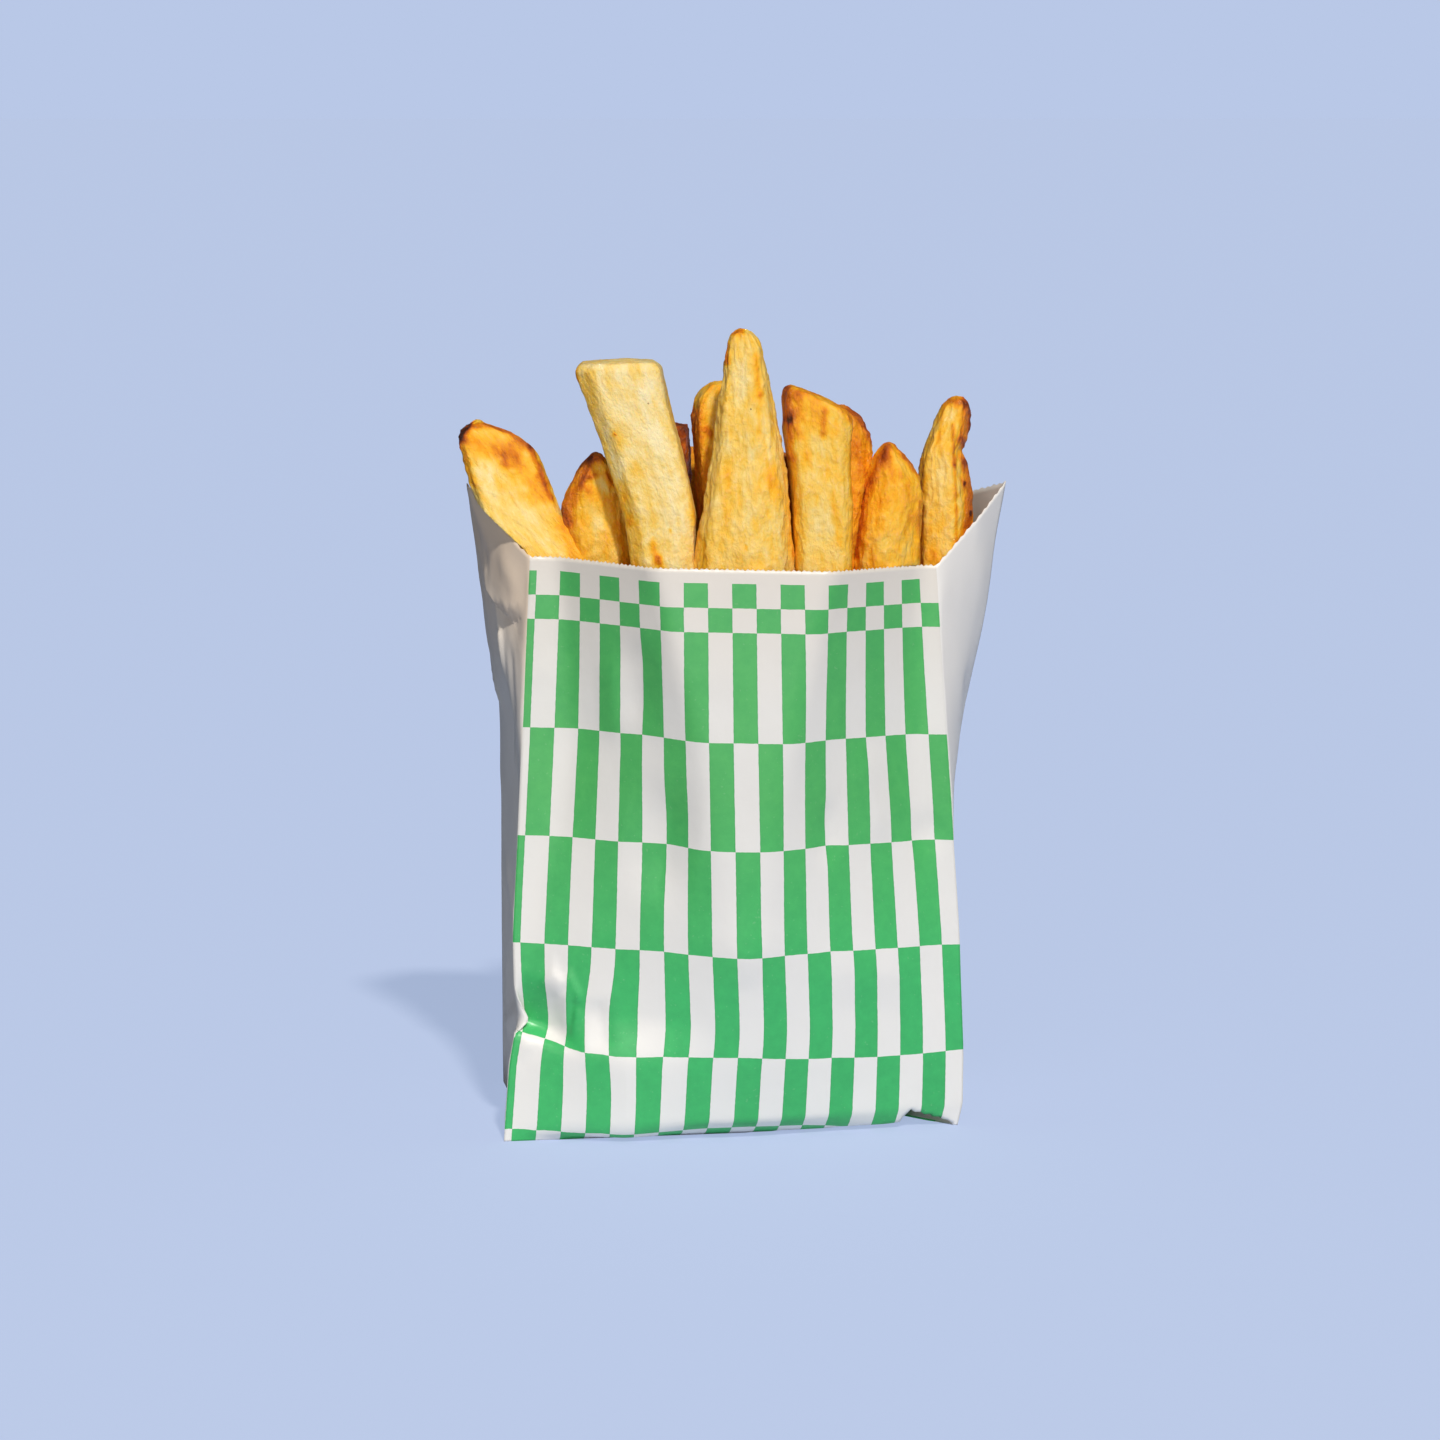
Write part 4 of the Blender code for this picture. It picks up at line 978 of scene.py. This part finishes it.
def makeFriedPotato():
    material, tree, shader = newMaterial("friedPotato")
    look = fryLook
    values = {name: addNode(tree, "ShaderNodeAttribute", attribute_name=name).outputs["Fac"]
              for name in ("toast", "crust", "wrinkleHighlight")}
    grain = addNode(tree, "ShaderNodeAttribute", attribute_name="grain").outputs["Vector"]
    # textures on the fry's own axes: blobs in a millimetre, how far they are drawn out along the fry,
    # detail, roughness. The skin is drawn up in fine wet creases, about 1 mm apart, and the oil lies
    # in beads and ridges of about 1 mm, which catch the light one by one.
    for name, scale, stretch, detail, roughness, settings in (
            ("streaks", 0.95, 0.22, 3.0, 0.55, {}), ("cells", 1.5, 0.8, 4.0, 0.62, {}),
            ("clouds", 0.34, 0.6, 3.0, 0.6, {}), ("wrinkle", 0.8, 0.4, 3.0, 0.6, {}),
            ("beads", 0.9, 1.0, 1.0, 0.4, {}),
            ("creases", 0.75, 0.7, 2.0, 0.5, {"noise_type": "RIDGED_MULTIFRACTAL"})):
        drawn = addNode(tree, "ShaderNodeMapping", {"Vector": grain, "Scale": (1.0, 1.0, stretch)})
        noiseNode = addNode(tree, "ShaderNodeTexNoise", {
            "Vector": drawn.outputs["Vector"], "Scale": scale, "Detail": detail, "Roughness": roughness,
            "Distortion": 0.6 if settings else 0.0}, **settings)
        values[name] = noiseNode.outputs["Fac"]
    crumbs = addNode(tree, "ShaderNodeTexVoronoi", {"Vector": grain, "Scale": 0.22, "Randomness": 1.0})
    values["crumbGap"] = crumbs.outputs["Distance"]
    chance = addNode(tree, "ShaderNodeSeparateXYZ", {"Vector": crumbs.outputs["Color"]})
    values["crumbChance"] = chance.outputs["X"]
    slowest, fastest = look["rough"]
    # Each line is a Math node, as for the paper: its name, operation and inputs.
    steps = (
        ("evened", "SUBTRACT", "toast", 0.5 * (look["streaks"] + look["clouds"] + look["cells"])),
        ("streaky", "MULTIPLY_ADD", "streaks", look["streaks"], "evened"),
        ("cloudy", "MULTIPLY_ADD", "clouds", look["clouds"], "streaky"),
        ("varied", "MULTIPLY_ADD", "cells", look["cells"], "cloudy"),
        # where the surface is drawn up in wrinkles it is painted paler, a painted highlight on the blisters
        ("patchShare", "MULTIPLY_ADD", "cells", *lineFrom(0.42, 0.62)),
        ("brownShare", "MULTIPLY_ADD", "toast", *lineFrom(0.15, 0.45)),
        ("pale", "MULTIPLY_ADD", "brownShare", -0.88, 1.0),
        ("highlightPatch", "MULTIPLY", "wrinkleHighlight", "patchShare"),
        ("palePatch", "MULTIPLY", "highlightPatch", "pale"),
        ("paintedHighlightShare", "MULTIPLY", "palePatch", 0.42),
        # a few dark specks, burnt crumbs of about 0.4 mm
        ("fewCrumbs", "GREATER_THAN", "crumbChance", 0.9),
        ("nearCrumb", "LESS_THAN", "crumbGap", 0.05),
        ("crumb", "MULTIPLY", "fewCrumbs", "nearCrumb"),
        ("crumbShare", "MULTIPLY", "crumb", 0.65),
        # relief
        ("cellDepth", "MULTIPLY_ADD", "crust", 0.8, 0.45),
        ("creaseDepth", "MULTIPLY_ADD", "crust", 0.12, 0.16),
        ("wrinkled", "MULTIPLY", "wrinkle", 0.6),
        ("pitted", "MULTIPLY_ADD", "cells", "cellDepth", "wrinkled"),
        ("height", "MULTIPLY_ADD", "creases", "creaseDepth", "pitted"),
        ("dullShare", "MULTIPLY_ADD", "clouds", *lineFrom(0.35, 0.65)),
        ("roughness", "MULTIPLY_ADD", "dullShare", fastest - slowest, slowest),
    )
    for name, operation, *inputs in steps:
        sockets = {at: values.get(value, value) for at, value in enumerate(inputs)}
        values[name] = addNode(tree, "ShaderNodeMath", sockets, operation=operation,
                               use_clamp=name.endswith("Share")).outputs["Value"]
    ramp = addNode(tree, "ShaderNodeValToRGB", {"Fac": values["varied"]})
    stops = ramp.color_ramp.elements
    for stop, (place, hexColour) in zip(stops, (look["colours"][0], look["colours"][-1])):
        stop.position, stop.color = place, linear(hexColour)
    for place, hexColour in look["colours"][1:-1]:
        stops.new(place).color = linear(hexColour)
    colour = ramp.outputs["Color"]
    for share, over in (("paintedHighlightShare", "wrinkleHighlight"), ("crumbShare", "crumb")):
        colour = addNode(tree, "ShaderNodeMix", {0: values[share], 6: colour, 7: linear(look[over])},
                         data_type="RGBA").outputs[2]
    relief = addNode(tree, "ShaderNodeBump", {"Height": values["height"], "Strength": 0.85,
                                              "Distance": 0.0008})
    wet = addNode(tree, "ShaderNodeBump", {"Height": values["beads"], "Strength": 0.9, "Distance": 0.0024,
                                           "Normal": relief.outputs["Normal"]})
    for name, value in (("Base Color", colour), ("Normal", relief.outputs["Normal"]),
                        ("Coat Normal", wet.outputs["Normal"]), ("Roughness", values["roughness"])):
        tree.links.new(value, shader.inputs[name])
    for name, value in (("IOR", look["index"]), ("Specular IOR Level", look["level"]),
                        ("Subsurface Weight", look["under"]), ("Subsurface Radius", look["underRadius"]),
                        ("Subsurface Scale", look["underScale"]), ("Coat Weight", look["oil"]),
                        ("Coat Roughness", look["oilRough"]), ("Coat IOR", look["oilIndex"])):
        shader.inputs[name].default_value = value
    return material


heap = {
    "middle": complex(0, -4), "level": 101.0, "halfHeight": 4.0, "cuts": 59,
    "margin": 2.6,            # from the outside of the paper
    "rises": ((3.6, 8.0, 21.0), (1.4, 3.0, 22.0)), "edgeDrop": 3.0,   # lumps, as (mm, size, seed)
    "toast": 0.62, "crust": 0.6,
    # stubs of fries that stand in it, each with random measures from these ranges
    "spots": ((-44, 2), (-33, -17), (-19, -19), (-30, 18), (-12, 18), (-7, -19), (10, -19), (1, 1), (18, -2),
              (28, -19), (16, 17), (36, 15), (44, -2), (-22, 0), (28, 0)),
    "foot": 102.0, "tops": (113, 122), "widths": (8.5, 12), "lean": 5.0, "turn": 30.0, "slant": 0.3,
    "toasts": (0.34, 0.62), "cells": 10,
}


def makeHeap():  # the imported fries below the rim: a lumpy core and stubs of the fries that stand in it
    pickOnly()
    bpy.ops.mesh.primitive_cube_add(size=2)
    core = bpy.context.object
    core.name = core.data.name = "packedFries"
    bpy.ops.object.mode_set(mode="EDIT")
    bpy.ops.mesh.select_all(action="SELECT")
    bpy.ops.mesh.subdivide(number_cuts=heap["cuts"])
    bpy.ops.object.mode_set(mode="OBJECT")
    cube = readPoints(core)
    line = wallAt(heap["level"] + 5.0) - heap["middle"]
    order = np.argsort(np.angle(line))
    here = np.arctan2(cube[:, 1], cube[:, 0])
    reach = np.interp(here, np.angle(line)[order], np.abs(line)[order], period=2 * math.pi) - heap["margin"]
    ring = np.maximum(np.abs(cube[:, 0]), np.abs(cube[:, 1]))
    spot = heap["middle"] + reach * ring * np.exp(1j * here)
    points = np.stack((spot.real, spot.imag, heap["level"] + heap["halfHeight"] * cube[:, 2]), axis=1)
    rise = sum(amount * noiseAt(points, size, seed) for amount, size, seed in heap["rises"])
    points[:, 2] += smoothStep((cube[:, 2] + 1) / 2) * (rise - heap["edgeDrop"] * ring ** 10)
    writePoints(core, points)
    pickOnly(core)
    bpy.ops.object.shade_smooth()
    writeAttribute(core, "toast", heap["toast"] + 0.14 * noiseAt(points, 5.0, 2.0))
    writeAttribute(core, "crust", np.full(len(points), heap["crust"]))
    writeAttribute(core, "wrinkleHighlight", np.zeros(len(points)))
    grain = core.data.attributes.new("grain", "FLOAT_VECTOR", "POINT")
    grain.data.foreach_set("vector", points.astype(np.float32).ravel())
    chance = np.random.default_rng(11)
    pieces = [core]
    for number, (x, y) in enumerate(heap["spots"]):
        leanX, leanY = chance.uniform(-heap["lean"], heap["lean"], 2)
        top = chance.uniform(*heap["tops"])
        width, depth = chance.uniform(*heap["widths"], 2)
        form = dict(section="baton", turn=chance.uniform(-heap["turn"], heap["turn"]),
                    end=chance.uniform(-heap["slant"], heap["slant"]), toast=chance.uniform(*heap["toasts"]),
                    cells=heap["cells"], marks=(),
                    sides=((heap["foot"], x - width / 2, x + width / 2),
                           (top, x + leanX - width * 0.46, x + leanX + width * 0.46)),
                    deep=((heap["foot"], y, depth), (top, y + leanY, depth * 0.92)))
        pieces.append(makeFry("heapFry", form, 50.0 + 3.1 * number))
    pickOnly(*pieces)
    bpy.ops.object.join()
    return core


friedPotato = makeFriedPotato()
kinds = {"cutFries": "baton", "taperedFries": "spear", "potatoWedges": "wedge"}
fryPieces = []
made = {name: makeFry(name, form, 1.0 + 2.3 * number) for number, (name, form) in enumerate(fries.items())}
for pieceName, kind in kinds.items():
    pickOnly(*(made[name] for name in fries if fries[name]["kind"] == kind))
    bpy.ops.object.join()
    piece = bpy.context.object
    piece.name = piece.data.name = pieceName
    fryPieces.append(piece)
fryPieces.append(makeHeap())
for piece in fryPieces:
    piece.data.materials.clear()
    piece.data.materials.append(friedPotato)
    print(piece.name, sum(len(face.vertices) - 2 for face in piece.data.polygons), "triangles")


# Onto the frame

finishPiece(paperBag, "root", "printed_paper", "paper_bag")
for piece in fryPieces:
    finishPiece(piece, "root", "fried_potato", "fries")
print("pieces ride on the frame")


# Camera, floor and light

shot = {"azimuth": -3.0, "elevation": 9.5, "distance": 0.8, "aim": (-0.00105, -0.0181, 0.094),
        "lens": 91.4, "shift": -13 / 1440}
light = {"azimuth": 12.0, "elevation": 48.0, "strength": 2.75, "softness": 3.5,
         "ambient": 0.06, "bounce": 1.0, "leftBounce": 0.5, "shadeLeftFrom": (-0.10, -0.035),
         "fill": 3.6, "fillAzimuth": -12.0, "fillElevation": 10.0, "fillDistance": 1.1,
         "fillSize": (0.9, 0.5)}
backdrop = "#b9c8e7"


def awayFrom(azimuth, elevation):
    a, e = math.radians(azimuth), math.radians(elevation)
    return Vector((math.sin(a) * math.cos(e), -math.cos(a) * math.cos(e), math.sin(e)))


camera = bpy.data.objects.new("camera", bpy.data.cameras.new("camera"))
bpy.context.scene.collection.objects.link(camera)
bpy.context.scene.camera = camera
camera.data.lens = shot["lens"]
camera.data.shift_x = shot["shift"]
camera.data.clip_start = 0.01
camera.data.clip_end = 200.0
direction = awayFrom(shot["azimuth"], shot["elevation"])
camera.location = Vector(shot["aim"]) + direction * shot["distance"]
camera.rotation_euler = (-direction).to_track_quat("-Z", "Y").to_euler()

keyLight = bpy.data.objects.new("keyLight", bpy.data.lights.new("keyLight", "SUN"))
bpy.context.scene.collection.objects.link(keyLight)
keyLight.data.energy = light["strength"]
keyLight.data.angle = math.radians(light["softness"])
keyLight.data.color = (1.0, 0.965, 0.91)
toSun = awayFrom(light["azimuth"], light["elevation"])
keyLight.rotation_euler = (-toSun).to_track_quat("-Z", "Y").to_euler()

# a wide soft box close to the camera: it fills the shadows and gives the ink its sheen
softBox = bpy.data.objects.new("softBox", bpy.data.lights.new("softBox", "AREA"))
bpy.context.scene.collection.objects.link(softBox)
softBox.data.shape = "RECTANGLE"
softBox.data.size, softBox.data.size_y = light["fillSize"]
softBox.data.energy = light["fill"]
softBox.data.color = (1.0, 0.97, 0.93)
toBox = awayFrom(light["fillAzimuth"], light["fillElevation"])
softBox.location = Vector(shot["aim"]) + toBox * light["fillDistance"]
softBox.rotation_euler = (-toBox).to_track_quat("-Z", "Y").to_euler()

world = bpy.data.worlds.new("studio")
bpy.context.scene.world = world
world.use_nodes = True
tree = world.node_tree
sky = tree.nodes["Background"]
sky.inputs["Color"].default_value = (0.92, 0.96, 1.0, 1.0)
sky.inputs["Strength"].default_value = light["ambient"]
seen = addNode(tree, "ShaderNodeBackground", {"Color": linear(backdrop), "Strength": 1.0})
rays = addNode(tree, "ShaderNodeLightPath")
both = addNode(tree, "ShaderNodeMixShader", {0: rays.outputs["Is Camera Ray"], 1: sky.outputs[0],
                                             2: seen.outputs[0]})
tree.links.new(both.outputs[0], tree.nodes["World Output"].inputs["Surface"])

pickOnly()
bpy.ops.mesh.primitive_plane_add(size=160, location=(0, 0, 0))
floor = bpy.context.object
floor.name = "floor"
floorMaterial, tree, shader = newMaterial("paintedBackdrop")
shade = linear(backdrop)
# a shadow on the bright sweep is faint, so the camera sees most of the floor as its own glow; what
# the floor gives back to the bag is only the light that falls on it
matte = (0.36, 0.33, 0.29)
received = light["strength"] * math.sin(math.radians(light["elevation"])) / math.pi + light["ambient"]
shader.inputs["Base Color"].default_value = tuple(part * value for part, value in zip(matte, shade)) + (1.0,)
shader.inputs["Roughness"].default_value = 1.0
shader.inputs["Specular IOR Level"].default_value = 0.0
shader.inputs["Emission Color"].default_value = tuple(
    (1 - part * received) * value for part, value in zip(matte, shade)) + (1.0,)
shader.inputs["Emission Strength"].default_value = 1.0
# painted shade: left of the bag the floor gives back only part of the light to the bag, though the camera
# sees it unchanged
spot = addNode(tree, "ShaderNodeTexCoord").outputs["Object"]
place = addNode(tree, "ShaderNodeSeparateXYZ", {"Vector": spot})
shadeLeft = addNode(tree, "ShaderNodeMapRange", {
    "Value": place.outputs["X"], "From Min": light["shadeLeftFrom"][0], "From Max": light["shadeLeftFrom"][1],
    "To Min": light["leftBounce"], "To Max": light["bounce"]})
lessened = addNode(tree, "ShaderNodeMix", {0: shadeLeft.outputs["Result"], 6: (0.0, 0.0, 0.0, 1.0), 7: shade},
                   data_type="RGBA")
given = addNode(tree, "ShaderNodeBsdfDiffuse", {"Color": lessened.outputs[2]})
rays = addNode(tree, "ShaderNodeLightPath")
both = addNode(tree, "ShaderNodeMixShader", {0: rays.outputs["Is Camera Ray"], 1: given.outputs[0],
                                             2: shader.outputs[0]})
tree.links.new(both.outputs[0], tree.nodes["Material Output"].inputs["Surface"])
floor.data.materials.append(floorMaterial)

bpy.context.scene.view_settings.view_transform = "Standard"
print("camera, floor and light ready")
